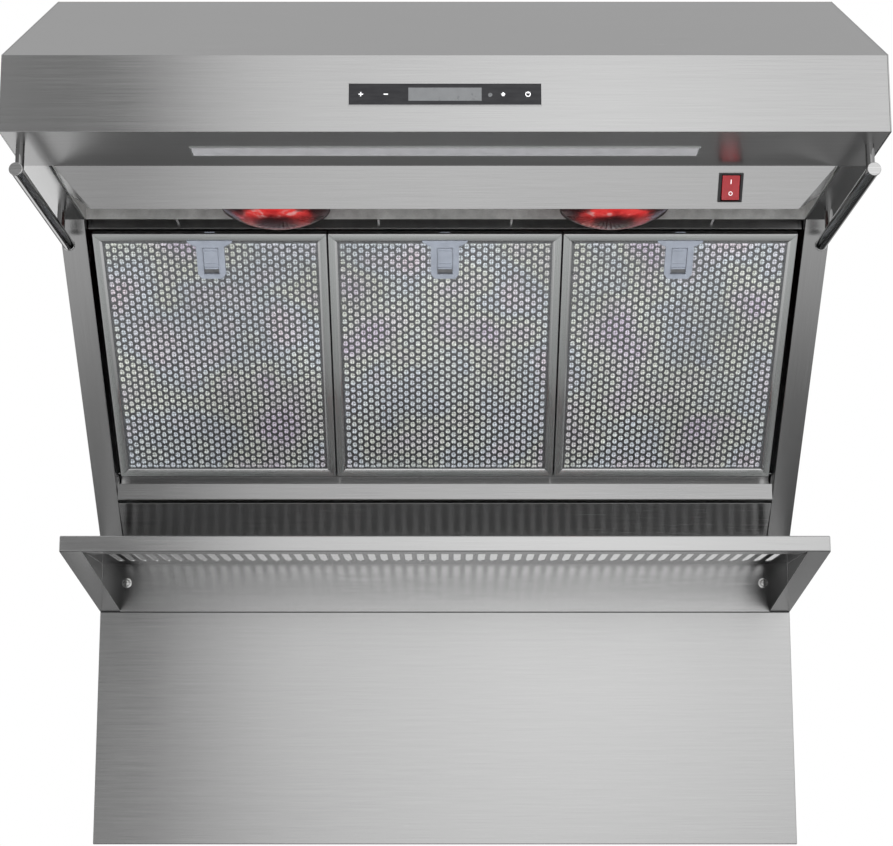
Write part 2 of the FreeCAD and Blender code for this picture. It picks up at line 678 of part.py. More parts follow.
def make_shelf_screws():
    """Two domed screws that hold the shelf's back plate to the backsplash."""
    offset = dim("shelf_screw_offset")
    level = top - dim("shelf_drop") - dim("shelf_screw_drop")
    head_y = -dim("splash_depth") - 0.1 - gauge
    profile = [(0, 0), (2.1, 0), (2.1, 5), (6.5, 5), (6.2, 6.2), (4.5, 7.4), (2.2, 8.0), (0, 8.2)]
    screws = []
    for side, name in ((-1, "left"), (1, "right")):
        screw = turned_body("screw_" + name, profile)
        screw.Placement = Placement(Vector(side * offset, head_y + 5, level), Rotation(X_AXIS, 90))
        screws.append(screw)
    keep(fuse("screw_pair", screws), "shelf_screws")


def make_backsplash():
    """The flat panel under the canopy, a shallow tray with its edges turned to the wall."""
    outer = box("splash_outer",
                ("dims.hood_width", "dims.splash_depth", "dims.splash_foot - dims.splash_head"),
                ("-dims.hood_width / 2", "-dims.splash_depth", "dims.top_height - dims.splash_foot"))
    inner = box("splash_inner",
                ("dims.hood_width - 2 * dims.gauge", "dims.splash_depth",
                 "dims.splash_foot - dims.splash_head - 2 * dims.gauge"),
                ("-dims.hood_width / 2 + dims.gauge", "-dims.splash_depth + dims.gauge",
                 "dims.top_height - dims.splash_foot + dims.gauge"))
    tools = fuse("splash_tools", [inner] + screw_rods("splash_hole"))
    keep(cut("splash_cut", outer, tools), "backsplash")


# ---------------------------------------------------------------- blower, duct collar and damper


def scroll_solid(name, radius, width, neck, neck_top):
    """The scroll's round body joined to its square outlet neck."""
    drum = rod(name + "_drum", radius, width, (0, 0, 0), X_AXIS)
    drum.setExpression(".Placement.Base.x", f"-({width}) / 2")
    drum.setExpression(".Placement.Base.y", "-dims.blower_depth")
    drum.setExpression(".Placement.Base.z", "dims.top_height - dims.blower_drop")
    throat = box(name + "_throat", (width, neck, neck_top),
                 (f"-({width}) / 2", f"-dims.blower_depth - ({neck}) / 2",
                  "dims.top_height - dims.blower_drop"))
    return fuse(name, [drum, throat])


def make_blower():
    """The centrifugal blower: wrapped scroll, two side plates, impeller, shaft, motor and its spider."""
    outside = scroll_solid("scroll_outer", "dims.scroll_radius", "dims.scroll_width",
                           "dims.neck_width", "dims.blower_drop - dims.gauge")
    inside = scroll_solid("scroll_inner", "dims.scroll_radius - dims.gauge", "dims.scroll_width + 10",
                          "dims.neck_width - 2 * dims.gauge", "dims.blower_drop + 5")
    keep(cut("wrap_cut", outside, inside), "blower_wrap")

    for side, name in ((-1, "left"), (1, "right")):
        block = scroll_solid("side_block_" + name, "dims.scroll_radius",
                             "dims.scroll_width + 2 * dims.gauge", "dims.neck_width",
                             "dims.blower_drop - dims.gauge")
        first = "dims.scroll_width / 2" if side > 0 else "-dims.scroll_width / 2 - dims.gauge"
        slab = box("side_slab_" + name, ("dims.gauge", "400", "400"),
                   (first, "-dims.blower_depth - 200", "dims.top_height - dims.blower_drop - 200"))
        inlet = rod("inlet_" + name, "dims.inlet_radius", "30",
                    (side * dim("scroll_width") / 2 - 15, blower_centre.y, blower_centre.z), X_AXIS)
        keep(cut("side_cut_" + name, common("side_plate_" + name, block, slab), inlet),
             f"blower_side_{name}")

    make_impeller()
    shaft = rod("shaft_rod", "dims.shaft_radius", "44", (-12, blower_centre.y, blower_centre.z), X_AXIS)
    keep(shaft, "motor_shaft")
    can = rod("motor_can", "50", "dims.scroll_width / 2 + dims.gauge - 20",
              (20, blower_centre.y, blower_centre.z), X_AXIS)
    bore = rod("motor_bore", "dims.shaft_radius + 0.05", "20",
               (13, blower_centre.y, blower_centre.z), X_AXIS)
    keep(cut("motor_cut", can, bore), "blower_motor")
    make_motor_spider()


def make_impeller():
    """The forward-curved wheel: a centre disc, a hub, a ring at each end and a ring of blades."""
    wheel = new_body("wheel_body")
    bore = ("circle", (0, 0), dim("shaft_radius"))
    disc = add_sketch(wheel, "YZ_Plane", [("circle", (0, 0), dim("wheel_radius")), bore], "-1")
    add_pad(wheel, disc, "2")
    hub = add_sketch(wheel, "YZ_Plane", [("circle", (0, 0), 12), bore], "1")
    add_pad(wheel, hub, "14")
    lean = math.radians(25)
    root = (dim("wheel_radius") - 16, 0.0)
    tip = (dim("wheel_radius") - 0.5, 15.5 * math.tan(lean))
    blade = [root, tip, (tip[0], tip[1] + 1.0), (root[0], root[1] + 1.0)]
    blade_pad = add_pad(wheel, add_sketch(wheel, "YZ_Plane", [blade], "-dims.wheel_width / 2"),
                        "dims.wheel_width")
    ring = wheel.newObject("PartDesign::PolarPattern", "blade_ring")
    ring.Originals = [blade_pad]
    x_line = next(item for item in wheel.Origin.OriginFeatures if item.Role == "X_Axis")
    ring.Axis = (x_line, [""])
    ring.Angle = 360
    ring.setExpression("Occurrences", "dims.blade_count")
    wheel.Tip = ring
    rim = [("circle", (0, 0), dim("wheel_radius")), ("circle", (0, 0), dim("wheel_radius") - 6)]
    add_pad(wheel, add_sketch(wheel, "YZ_Plane", rim, "-dims.wheel_width / 2"), "2")
    add_pad(wheel, add_sketch(wheel, "YZ_Plane", rim, "dims.wheel_width / 2 - 2"), "2")
    wheel.Placement = Placement(blower_centre, Rotation())
    keep(wheel, "impeller")


def make_motor_spider():
    """Three arms that carry the motor across the right inlet."""
    first = dim("scroll_width") / 2 + gauge
    pieces = [rod("spider_disc", "40", "2", (first, blower_centre.y, blower_centre.z), X_AXIS)]
    for index in range(3):
        arm = doc.addObject("Part::Box", f"spider_arm_{index}")
        arm.Length = 2
        arm.Width = 96
        arm.Height = 14
        turn = Rotation(X_AXIS, 30 + 120 * index)
        corner = Vector(first, blower_centre.y, blower_centre.z) + turn.multVec(Vector(0, 0, -7))
        arm.Placement = Placement(corner, turn)
        pieces.append(arm)
    keep(fuse("spider_join", pieces), "motor_spider")


def make_collar_and_damper():
    """The round duct collar with two flaps that lift on a rod across it."""
    centre_y = blower_centre.y
    rod_z = top + 8
    flange = rod("collar_flange", "dims.collar_radius + 20", "dims.gauge", (0, centre_y, top))
    tube = rod("collar_tube", "dims.collar_radius", "dims.collar_height", (0, centre_y, top))
    bore = rod("collar_bore", "dims.collar_radius - dims.collar_wall", "dims.collar_height + 10",
               (0, centre_y, top - 5))
    pin_hole = rod("collar_pin_hole", "2.1", "160", (-80, centre_y, rod_z), X_AXIS)
    keep(cut("collar_cut", fuse("collar_outer", [flange, tube]), fuse("collar_tools", [bore, pin_hole])),
         "duct_collar")
    keep(rod("pin_rod", "2", "149.6", (-74.8, centre_y, rod_z), X_AXIS), "damper_rod")

    for name, side, spans in (("rear", 1, [(-52, 26), (26, 26)]), ("front", -1, [(-20, 40)])):
        disc = rod("flap_disc_" + name, "72.6", "0.8", (0, centre_y, rod_z - 0.4))
        disc.Angle = 180
        half_turn = Rotation(Z_AXIS, 0 if side > 0 else 180)
        disc.Placement = Placement(Vector(0, centre_y, rod_z - 0.4), half_turn)
        strip = box("flap_gap_" + name, ("160", "9", "4"),
                    ("-80", "-dims.blower_depth - 4.5", "dims.top_height + 6"))
        pieces = [cut("flap_plate_" + name, disc, strip)]
        holes = []
        for index, (start, length) in enumerate(spans):
            knuckle = rod(f"knuckle_{name}_{index}", "3.6", str(length), (start, centre_y, rod_z), X_AXIS)
            first = centre_y if side > 0 else centre_y - 4.8
            tab = box(f"tab_{name}_{index}", (str(length), "4.8", "0.8"),
                      (str(start), str(first), str(rod_z - 0.4)))
            holes.append(rod(f"knuckle_bore_{name}_{index}", "2.05", str(length + 2),
                             (start - 1, centre_y, rod_z), X_AXIS))
            pieces += [knuckle, tab]
        joined = fuse("flap_join_" + name, pieces)
        keep(cut("flap_cut_" + name, joined, fuse("flap_bores_" + name, holes)), "damper_flap_" + name)


# ---------------------------------------------------------------- controls, light bar and wiring


def make_controls():
    """The control glass with its display, board and rear housing behind the fascia."""
    middle = "dims.top_height - dims.glass_drop"
    keep(box("glass_plate", ("dims.glass_width", "1", "dims.glass_height"),
             ("-dims.glass_width / 2", "-dims.hood_depth - 1", middle + " - dims.glass_height / 2")),
         "control_glass")
    keep(box("display_block", ("74", "4", "15"), ("-37", "-dims.hood_depth + 0.2", middle + " - 7.5")),
         "display_module")
    keep(box("board_plate", ("188", "1.6", "28"), ("-94", "-dims.hood_depth + 4.4", middle + " - 14")),
         "control_board")
    outer = box("housing_outer_box", ("206", "20", "38"),
                ("-103", "-dims.hood_depth + dims.gauge", middle + " - 19"))
    inner = box("housing_inner_box", ("202", "18", "34"),
                ("-101", "-dims.hood_depth + dims.gauge", middle + " - 17"))
    keep(cut("control_housing_cut", outer, inner), "control_housing")


def make_light_bar():
    """The light bar in the underside strip: diffuser, light board and channel."""
    floor = "dims.top_height - dims.hood_drop"
    keep(box("diffuser_plate", ("dims.bar_length", "dims.bar_width", "1"),
             ("-dims.bar_length / 2", "-dims.bar_depth - dims.bar_width / 2", floor + " - 1")),
         "light_diffuser")
    outer = box("channel_outer", ("dims.bar_length", "dims.bar_width", "12"),
                ("-dims.bar_length / 2", "-dims.bar_depth - dims.bar_width / 2", floor + " + dims.gauge"))
    inner = box("channel_inner", ("dims.bar_length - 4", "dims.bar_width - 4", "10.5"),
                ("-dims.bar_length / 2 + 2", "-dims.bar_depth - dims.bar_width / 2 + 2",
                 floor + " + dims.gauge"))
    keep(cut("channel_cut", outer, inner), "light_channel")
    keep(box("light_board_plate", ("dims.bar_length - 10", "12", "1.6"),
             ("-dims.bar_length / 2 + 5", "-dims.bar_depth - 6", floor + " + dims.gauge + 8.9")),
         "light_board")


def make_wiring():
    """The junction box and its cover under the top, and the motor's run capacitor on the back."""
    ceiling = "dims.top_height - dims.gauge"
    outer = box("junction_outer", ("120", "80", "45"), ("240", "-150", ceiling + " - 45"))
    inner = box("junction_inner", ("117", "77", "44"), ("241.5", "-148.5", ceiling + " - 45"))
    knockout = rod("junction_knockout", "11", "10", (300, -110, top - 6))
    keep(cut("junction_cut", outer, fuse("junction_tools", [inner, knockout])), "junction_box")
    keep(box("junction_lid", ("120", "80", "1.2"), ("240", "-150", ceiling + " - 46.2")), "junction_cover")
    keep(rod("capacitor_can", "18", "70", (-300, -dim("gauge") - 18, top - 70), X_AXIS), "run_capacitor")


def check_and_write():
    """Stops on any failed object, then writes each sub-part as a STEP file."""
    doc.recompute()
    failed = [item.Name for item in doc.Objects if "Invalid" in item.State or "Error" in item.State]
    if failed:
        raise RuntimeError("failed objects: " + ", ".join(failed))
    labels = [item.Label for item in sub_parts]
    if len(set(labels)) != len(labels):
        raise RuntimeError("two sub-parts share a label")
    for item in sub_parts:
        if item.Shape.isNull() or not item.Shape.isValid() or not item.Shape.Solids:
            raise RuntimeError(item.Label + ": no valid solid")
    os.makedirs("parts", exist_ok=True)
    for item in sub_parts:
        item.Shape.exportStep(f"parts/{item.Label}.step")
        size = item.Shape.BoundBox
        print(f"{item.Label}: {len(item.Shape.Solids)} solid(s), "
              f"{size.XLength:.1f} x {size.YLength:.1f} x {size.ZLength:.1f} mm, "
              f"from {size.XMin:.1f} {size.YMin:.1f} {size.ZMin:.1f}")
    print(len(sub_parts), "sub-parts")


make_canopy_shell()
make_side_panel(-1, "left_side_panel")
make_side_panel(1, "right_side_panel")
make_back_panel()
make_lower_panel()
make_grease_gutter()
lamp_pan = make_lamp_pan()
make_lip(lamp_pan)
make_rocker()
make_lamps()
make_filter_rail()
for filter_number in (1, 2, 3):
    make_filter(filter_number, (filter_number - 2) * dim("filter_pitch"))
make_rails()
make_shelf()
make_shelf_screws()
make_backsplash()
make_blower()
make_collar_and_damper()
make_controls()
make_light_bar()
make_wiring()
check_and_write()
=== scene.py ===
import json
import math
import random

import bmesh
import bpy
from mathutils import Matrix, Vector


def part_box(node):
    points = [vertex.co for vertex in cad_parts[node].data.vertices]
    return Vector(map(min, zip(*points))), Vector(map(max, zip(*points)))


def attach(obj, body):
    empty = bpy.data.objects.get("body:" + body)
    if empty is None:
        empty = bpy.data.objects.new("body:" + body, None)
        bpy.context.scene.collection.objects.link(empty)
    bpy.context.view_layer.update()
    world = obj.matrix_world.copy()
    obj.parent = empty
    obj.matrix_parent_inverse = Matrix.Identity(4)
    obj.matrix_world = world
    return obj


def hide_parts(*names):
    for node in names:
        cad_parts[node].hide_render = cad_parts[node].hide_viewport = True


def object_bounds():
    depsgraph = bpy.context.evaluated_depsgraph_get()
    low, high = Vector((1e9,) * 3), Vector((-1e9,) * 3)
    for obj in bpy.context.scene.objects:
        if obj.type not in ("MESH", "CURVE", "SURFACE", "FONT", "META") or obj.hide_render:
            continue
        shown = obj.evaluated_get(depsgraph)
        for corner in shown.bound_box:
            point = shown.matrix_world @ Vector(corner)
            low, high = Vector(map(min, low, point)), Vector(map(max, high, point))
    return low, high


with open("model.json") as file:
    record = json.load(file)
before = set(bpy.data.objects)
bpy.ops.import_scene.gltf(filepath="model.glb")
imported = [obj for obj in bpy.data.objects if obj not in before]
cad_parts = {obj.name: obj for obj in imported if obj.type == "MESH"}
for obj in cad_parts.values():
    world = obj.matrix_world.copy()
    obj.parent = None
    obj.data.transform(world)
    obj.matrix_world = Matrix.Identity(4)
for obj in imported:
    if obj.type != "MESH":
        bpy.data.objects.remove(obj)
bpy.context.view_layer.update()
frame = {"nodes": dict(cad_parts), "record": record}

# Under cabinet range hood. X is the width, Y points into the wall, Z is up; metres.

record = frame["record"]
random.seed(7)

MM = 0.001
X_AXIS = Vector((1, 0, 0))
Y_AXIS = Vector((0, 1, 0))
Z_AXIS = Vector((0, 0, 1))
BODY_OF = {node: body for body, nodes in record["behaviour"]["bodies"].items() for node in nodes}
SLOT_OF = {part["node"]: part["material_slot"] for part in record["subparts"]}
JOINTS = {joint["name"]: joint for joint in record["behaviour"]["joints"]}

FLAT = Matrix.Identity(4)
LAMP_RADIUS = 61.5 * MM
# A face narrower than this is the cut edge of a sheet.
CUT_EDGE = 2.1 * MM
# Noise cycles per metre along the brushing and across it, for the fine grain and the broad one.
FINE_GRAIN = (14, 1500, 1500)
BROAD_GRAIN = (2, 240, 240)


# ---- materials


class Nodes:
    """Short calls for the nodes that the materials and the world share."""

    def __init__(self, tree):
        self.tree = tree

    def node(self, kind, **settings):
        made = self.tree.nodes.new(kind)
        for key, setting in settings.items():
            setattr(made, key, setting)
        return made

    def link(self, output, socket):
        self.tree.links.new(output, socket)

    def ramp(self, value, stops):
        """A colour ramp through (position, colour) stops."""
        ramp = self.node("ShaderNodeValToRGB")
        elements = ramp.color_ramp.elements
        while len(elements) < len(stops):
            elements.new(0.5)
        for element, (position, colour) in zip(elements, stops):
            element.position = position
            element.color = (*colour, 1.0)
        self.link(value, ramp.inputs["Fac"])
        return ramp.outputs["Color"]

    def rescale(self, value, from_low, from_high, to_low=0.0, to_high=1.0):
        """A value stretched from one range to another, and held at the ends."""
        stretch = self.node("ShaderNodeMapRange")
        limits = {"From Min": from_low, "From Max": from_high, "To Min": to_low, "To Max": to_high}
        for name, limit in limits.items():
            stretch.inputs[name].default_value = limit
        self.link(value, stretch.inputs["Value"])
        return stretch.outputs["Result"]

    def graded(self, value, stops):
        """Grey levels at (value, level) stops."""
        low, high = stops[0][0], stops[-1][0]
        shares = [((at - low) / (high - low), grey(level)) for at, level in stops]
        return self.ramp(self.rescale(value, low, high), shares)

    def mix(self, kind, first, second, factor=1.0):
        """Two colours blended; each of the three may be a socket or a plain value."""
        mix = self.node("ShaderNodeMix", data_type="RGBA", blend_type=kind)
        for name, value in (("Factor", factor), ("A", first), ("B", second)):
            if isinstance(value, bpy.types.NodeSocket):
                self.link(value, mix.inputs[name])
            else:
                mix.inputs[name].default_value = value
        return mix.outputs["Result"]

    def tint(self, first, second):
        """Two colours multiplied."""
        return self.mix("MULTIPLY", first, second)

    def choose(self, factor, first, second):
        """The first shader where the factor is 0, and the second where it is 1."""
        mix = self.node("ShaderNodeMixShader")
        self.link(factor, mix.inputs["Fac"])
        self.link(first, mix.inputs[1])
        self.link(second, mix.inputs[2])
        return mix.outputs["Shader"]


class Shader(Nodes):
    """A node material round one principled shader."""

    def __init__(self, name):
        self.material = bpy.data.materials.new(name)
        self.material.use_nodes = True
        super().__init__(self.material.node_tree)
        self.principled = self.tree.nodes["Principled BSDF"]

    def set(self, **values):
        for key, number in values.items():
            self.principled.inputs[key.replace("_", " ")].default_value = number

    def drive(self, **outputs):
        for key, output in outputs.items():
            self.link(output, self.principled.inputs[key.replace("_", " ")])

    def coordinates(self, source="Object", scale=(1, 1, 1)):
        """Object or UV coordinates, stretched by a scale on each axis."""
        coord = self.node("ShaderNodeTexCoord")
        mapping = self.node("ShaderNodeMapping")
        mapping.inputs["Scale"].default_value = scale
        self.link(coord.outputs[source], mapping.inputs["Vector"])
        return mapping.outputs["Vector"]

    def split(self, vector):
        """The X, Y and Z sockets of a vector."""
        split = self.node("ShaderNodeSeparateXYZ")
        self.link(vector, split.inputs["Vector"])
        return split.outputs

    def noise(self, vector, scale=1.0, detail=3.0, roughness=0.55):
        noise = self.node("ShaderNodeTexNoise")
        for name, number in (("Scale", scale), ("Detail", detail), ("Roughness", roughness)):
            noise.inputs[name].default_value = number
        self.link(vector, noise.inputs["Vector"])
        return noise.outputs["Fac"]

    def spread(self, noise, low, high):
        """A noise value, which is mostly from 0.3 to 0.7, spread over a range."""
        return self.rescale(noise, 0.3, 0.7, low, high)

    def math(self, operation, first, second=0.0):
        node = self.node("ShaderNodeMath", operation=operation)
        for value, socket in zip((first, second), node.inputs):
            if isinstance(value, (int, float)):
                socket.default_value = value
            else:
                self.link(value, socket)
        return node.outputs["Value"]

    def bump(self, height, strength, distance):
        bump = self.node("ShaderNodeBump")
        bump.inputs["Strength"].default_value = strength
        bump.inputs["Distance"].default_value = distance
        self.link(height, bump.inputs["Height"])
        self.drive(Normal=bump.outputs["Normal"])


def grey(value):
    return (value, value, value)


def shade(colour, factor):
    return tuple(min(1.0, channel * factor) for channel in colour)


def brushed(name, colour, roughness, anisotropy=0.82, contrast=0.08, source="UV"):
    """Brushed sheet: fine grain along U, slow smudges, and a highlight stretched across the grain."""
    s = Shader(name)
    fine = s.noise(s.coordinates(source, FINE_GRAIN), detail=3.0, roughness=0.6)
    broad = s.noise(s.coordinates(source, BROAD_GRAIN), detail=2.0)
    smudge = s.noise(s.coordinates(), scale=5.0, detail=5.0)
    grain = s.math("ADD", s.math("MULTIPLY", fine, 0.75), s.math("MULTIPLY", broad, 0.25))
    body = s.ramp(grain, [(0.3, shade(colour, 1 - contrast)), (0.7, shade(colour, 1 + contrast))])
    veil = s.ramp(smudge, [(0.25, grey(0.95)), (0.7, grey(1.0))])
    rough = s.math("ADD", s.spread(grain, roughness - 0.03, roughness + 0.03), s.spread(smudge, 0.0, 0.04))
    s.drive(Base_Color=s.tint(body, veil), Roughness=rough)
    s.set(Metallic=1.0, Anisotropic=anisotropy, Anisotropic_Rotation=0.25)
    if source == "UV":
        tangent = s.node("ShaderNodeTangent", direction_type="UV_MAP")
        s.drive(Tangent=tangent.outputs["Tangent"])
    s.bump(grain, 0.05, 0.0002)
    return s.material


def cast_or_coated(name, colour, roughness, metallic=1.0, scale=60.0, contrast=0.18):
    """Zinc coat, paint or porcelain: mottled colour and an uneven gloss."""
    s = Shader(name)
    mottle = s.noise(s.coordinates(), scale=scale, detail=6.0)
    speck = s.noise(s.coordinates(), scale=scale * 9, detail=2.0)
    body = s.ramp(mottle, [(0.3, shade(colour, 1 - contrast)), (0.7, shade(colour, 1 + contrast))])
    veil = s.ramp(speck, [(0.35, grey(0.94)), (0.65, grey(1.0))])
    s.drive(Base_Color=s.tint(body, veil), Roughness=s.spread(mottle, roughness - 0.06, roughness + 0.08))
    s.set(Metallic=metallic)
    s.bump(speck, 0.15, 0.0002)
    return s.material


def plastic(name, colour, roughness, coat=0.0, emission=0.0):
    """Moulded plastic with a fine spark-eroded texture; a given emission adds a painted glow."""
    s = Shader(name)
    skin = s.noise(s.coordinates(), scale=1400.0, detail=2.0)
    tone = s.noise(s.coordinates(), scale=90.0, detail=3.0)
    body = s.ramp(tone, [(0.3, shade(colour, 0.9)), (0.7, shade(colour, 1.08))])
    s.drive(Base_Color=body, Roughness=s.spread(tone, roughness - 0.05, roughness + 0.06))
    s.set(Coat_Weight=coat, Coat_Roughness=0.08)
    if emission:
        s.set(Emission_Color=(*colour, 1.0), Emission_Strength=emission)
    s.bump(skin, 0.12, 0.0001)
    return s.material


def lamp_glass(name):
    """Ruby glass over a mirrored reflector, with a painted reflection: a bright red band between a deep crown
    and rim, and a painted highlight glowing on its front side.
    """
    s = Shader(name)
    low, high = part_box("heat_lamp_right")
    streak = s.noise(s.coordinates(), scale=60.0, detail=2.0)
    place = s.split(s.coordinates())
    aside = s.math("SUBTRACT", s.math("ABSOLUTE", place["X"]), (low.x + high.x) / 2)
    ahead = s.math("SUBTRACT", place["Y"], (low.y + high.y) / 2)
    square = s.math("ADD", s.math("MULTIPLY", aside, aside), s.math("MULTIPLY", ahead, ahead))
    wobble = s.math("ADD", s.math("SQRT", square), s.spread(streak, -4 * MM, 4 * MM))
    share = s.math("DIVIDE", wobble, LAMP_RADIUS)
    dark = (0.075, 0.002, 0.004)
    # Painted reflection: the colour is dark at the crown and rim and bright red in a band between them.
    body = s.ramp(share, [(0.20, dark), (0.34, (0.26, 0.005, 0.008)), (0.46, (0.80, 0.04, 0.04)),
                          (0.62, (0.85, 0.05, 0.05)), (0.72, (0.20, 0.005, 0.008)), (0.80, dark)])
    # Painted highlight: an emission ring over the band, strongest towards the front, tinted red to pinkish
    # white.
    ring = s.ramp(share, [(0.30, grey(0.0)), (0.48, grey(0.40)), (0.60, grey(0.46)), (0.68, grey(0.05)),
                          (0.76, grey(0.0))])
    light = s.math("MULTIPLY", ring, s.rescale(ahead, -8 * MM, -22 * MM, 0.05))
    tone = s.ramp(streak, [(0.40, (1.0, 0.04, 0.04)), (0.58, (1.0, 0.09, 0.08)), (0.66, (1.0, 0.60, 0.58))])
    s.drive(Base_Color=body, Emission_Color=tone, Emission_Strength=light)
    s.drive(Roughness=s.spread(streak, 0.04, 0.14))
    s.set(Metallic=0.8, Coat_Weight=0.5, Coat_Roughness=0.02)
    s.bump(streak, 0.2, 0.002)
    return s.material


def foil(name):
    """Layered expanded aluminium behind the filter's face: four painted highlight petals a hole, painted
    shade between them, with faint tints.
    """
    s = Shader(name)
    position = s.coordinates()
    cells = s.split(s.coordinates("UV"))
    crinkle = s.noise(position, scale=520.0, detail=2.0)
    hue = s.noise(position, scale=11.0, detail=2.0)
    patches = s.noise(position, scale=6.0, detail=2.0)
    waves = []
    for axis in ("X", "Y"):
        angle = s.math("MULTIPLY", s.math("ADD", cells[axis], s.spread(crinkle, -0.04, 0.04)), 2 * math.pi)
        waves.append(s.math("ABSOLUTE", s.math("SINE", angle)))
    petal = s.math("ADD", s.math("MULTIPLY", waves[0], waves[1]), s.spread(crinkle, -0.12, 0.12))
    # Painted highlight on four petals round each hole, and painted shade between them.
    painted_petal_glint = s.ramp(petal, [(0.02, grey(0.22)), (0.30, grey(0.74)), (0.6, grey(0.84))])
    tints = s.ramp(hue, [(0.3, (0.94, 0.85, 1.0)), (0.45, (0.96, 1.0, 0.91)), (0.55, (0.86, 0.93, 1.0)),
                         (0.7, (1.0, 0.90, 0.97))])
    shine = s.tint(tints, s.ramp(patches, [(0.35, grey(0.80)), (0.62, grey(1.0))]))
    s.drive(Base_Color=s.tint(shine, painted_petal_glint), Roughness=s.spread(hue, 0.36, 0.50))
    s.set(Metallic=0.20)
    s.bump(petal, 0.35, 0.0006)
    return s.material


def black_glass(name):
    """Gloss black glass with faint wipe marks."""
    s = Shader(name)
    wipe = s.noise(s.coordinates("Object", (6, 1, 30)), scale=9.0, detail=4.0)
    body = s.ramp(wipe, [(0.3, (0.010, 0.010, 0.012)), (0.7, (0.020, 0.020, 0.022))])
    s.drive(Base_Color=body, Roughness=s.spread(wipe, 0.05, 0.14))
    s.set(Specular_IOR_Level=0.35)
    return s.material


FINISH = {
    "stainless": brushed("steel_brushed", (0.61, 0.61, 0.61), 0.21),
    "lip_steel": brushed("steel_lip", (0.60, 0.60, 0.595), 0.23),
    "recess": cast_or_coated("zinc_bright", (0.66, 0.66, 0.65), 0.42, metallic=0.7),
    "galvanised": cast_or_coated("zinc_sheet", (0.42, 0.43, 0.44), 0.38),
    # Polished rail steel darkened to stand for the dark surroundings it mirrors: painted shade.
    "rail_steel": brushed("steel_polished_painted_shade", (0.34, 0.34, 0.34), 0.06, 0.0, 0.03, "Object"),
    "cap_steel": brushed("steel_caps", (0.70, 0.70, 0.70), 0.20, 0.3, 0.22, "Object"),
    "filter_aluminium": brushed("aluminium_frame", (0.76, 0.785, 0.775), 0.26, 0.4, 0.06),
    # Brighter aluminium for the rounded edges of the filter bars: painted highlight.
    "aluminium_painted_highlight": brushed("aluminium_painted_highlight", (0.93, 0.94, 0.94), 0.16, 0.3, 0.06),
    # Darker copy of the brushed steel for the lower panel and the gutter: painted shade.
    "gutter_steel": brushed("steel_gutter_painted_shade", (0.47, 0.47, 0.47), 0.23, contrast=0.14),
    # Dark steel for the filter bars' outer sides and the shelf's inner end plates: painted shade.
    "mill_steel": brushed("steel_painted_shade", (0.26, 0.26, 0.26), 0.34, 0.5),
    # The perforated sheet's aluminium is darkened: painted shade on its webs.
    "mesh_aluminium": cast_or_coated("aluminium_net_painted_shade", (0.34, 0.345, 0.36), 0.34, scale=140.0),
    "foil": foil("aluminium_foil_painted_glints"),
    "latch_plastic": plastic("plastic_latch", (0.255, 0.28, 0.33), 0.40),
    "lamp_glass": lamp_glass("glass_ruby_painted_reflection"),
    "brass_shell": cast_or_coated("brass_shell", (0.78, 0.60, 0.30), 0.24),
    "porcelain": cast_or_coated("porcelain", (0.80, 0.79, 0.74), 0.35, metallic=0.0),
    "black_glass": black_glass("glass_black"),
    "display_grey": plastic("display_panel", (0.13, 0.135, 0.14), 0.30, coat=0.6),
    "circuit_green": plastic("circuit_board", (0.03, 0.15, 0.07), 0.45),
    "black_plastic": plastic("plastic_black", (0.012, 0.012, 0.013), 0.42),
    # The red rocker glows faintly, though it is no lamp: painted glow.
    "rocker_red": plastic("plastic_red_painted_glow", (0.25, 0.005, 0.010), 0.20, coat=0.6, emission=0.045),
    "underside": brushed("steel_underside", (0.60, 0.60, 0.60), 0.32, 0.35),
    "diffuser_white": plastic("plastic_frosted", (0.37, 0.37, 0.385), 0.36, coat=0.2),
    "motor_paint": cast_or_coated("motor_paint", (0.05, 0.05, 0.055), 0.45, metallic=0.0),
    "wheel_steel": cast_or_coated("zinc_wheel", (0.50, 0.51, 0.52), 0.34),
    "screw_steel": brushed("steel_screws", (0.88, 0.88, 0.87), 0.26, 0.2, 0.06, "Object"),
    # White print on the rocker and the control glass, made to glow: painted glow.
    "mark_white_painted_glow": plastic("mark_white_painted_glow", (0.85, 0.85, 0.86), 0.4, emission=0.25),
}


# ---- mesh helpers


def new_piece(name, bm, finishes, body, nodes=(), sharp_angle=35.0):
    """Turns a bmesh into a piece on its body, with its finishes in order, in place of its CAD nodes."""
    mesh = mesh_from(bm, name + "_mesh", sharp_angle)
    for finish in finishes:
        mesh.materials.append(FINISH[finish])
    piece = bpy.data.objects.new(name, mesh)
    bpy.context.scene.collection.objects.link(piece)
    flatten_normals(piece)
    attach(piece, body)
    if nodes:
        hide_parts(*nodes)
    return piece


def flatten_normals(piece):
    """Weights the shading normals by face area, so that flat faces stay flat beside their rounded edges."""
    weighted = piece.modifiers.new("weighted_normals", "WEIGHTED_NORMAL")
    weighted.keep_sharp = True
    weighted.weight = 100
    graph = bpy.context.evaluated_depsgraph_get()
    shaded = bpy.data.meshes.new_from_object(piece.evaluated_get(graph))
    piece.modifiers.clear()
    piece.data = shaded


def mesh_from(bm, name, sharp_angle):
    """Turns a bmesh into a mesh, smooth except where its faces meet at more than the sharp angle."""
    limit = math.radians(sharp_angle)
    for face in bm.faces:
        face.smooth = True
    for edge in bm.edges:
        edge.smooth = len(edge.link_faces) == 2 and edge.calc_face_angle(0.0) < limit
    mesh = bpy.data.meshes.new(name)
    bm.to_mesh(mesh)
    bm.free()
    return mesh


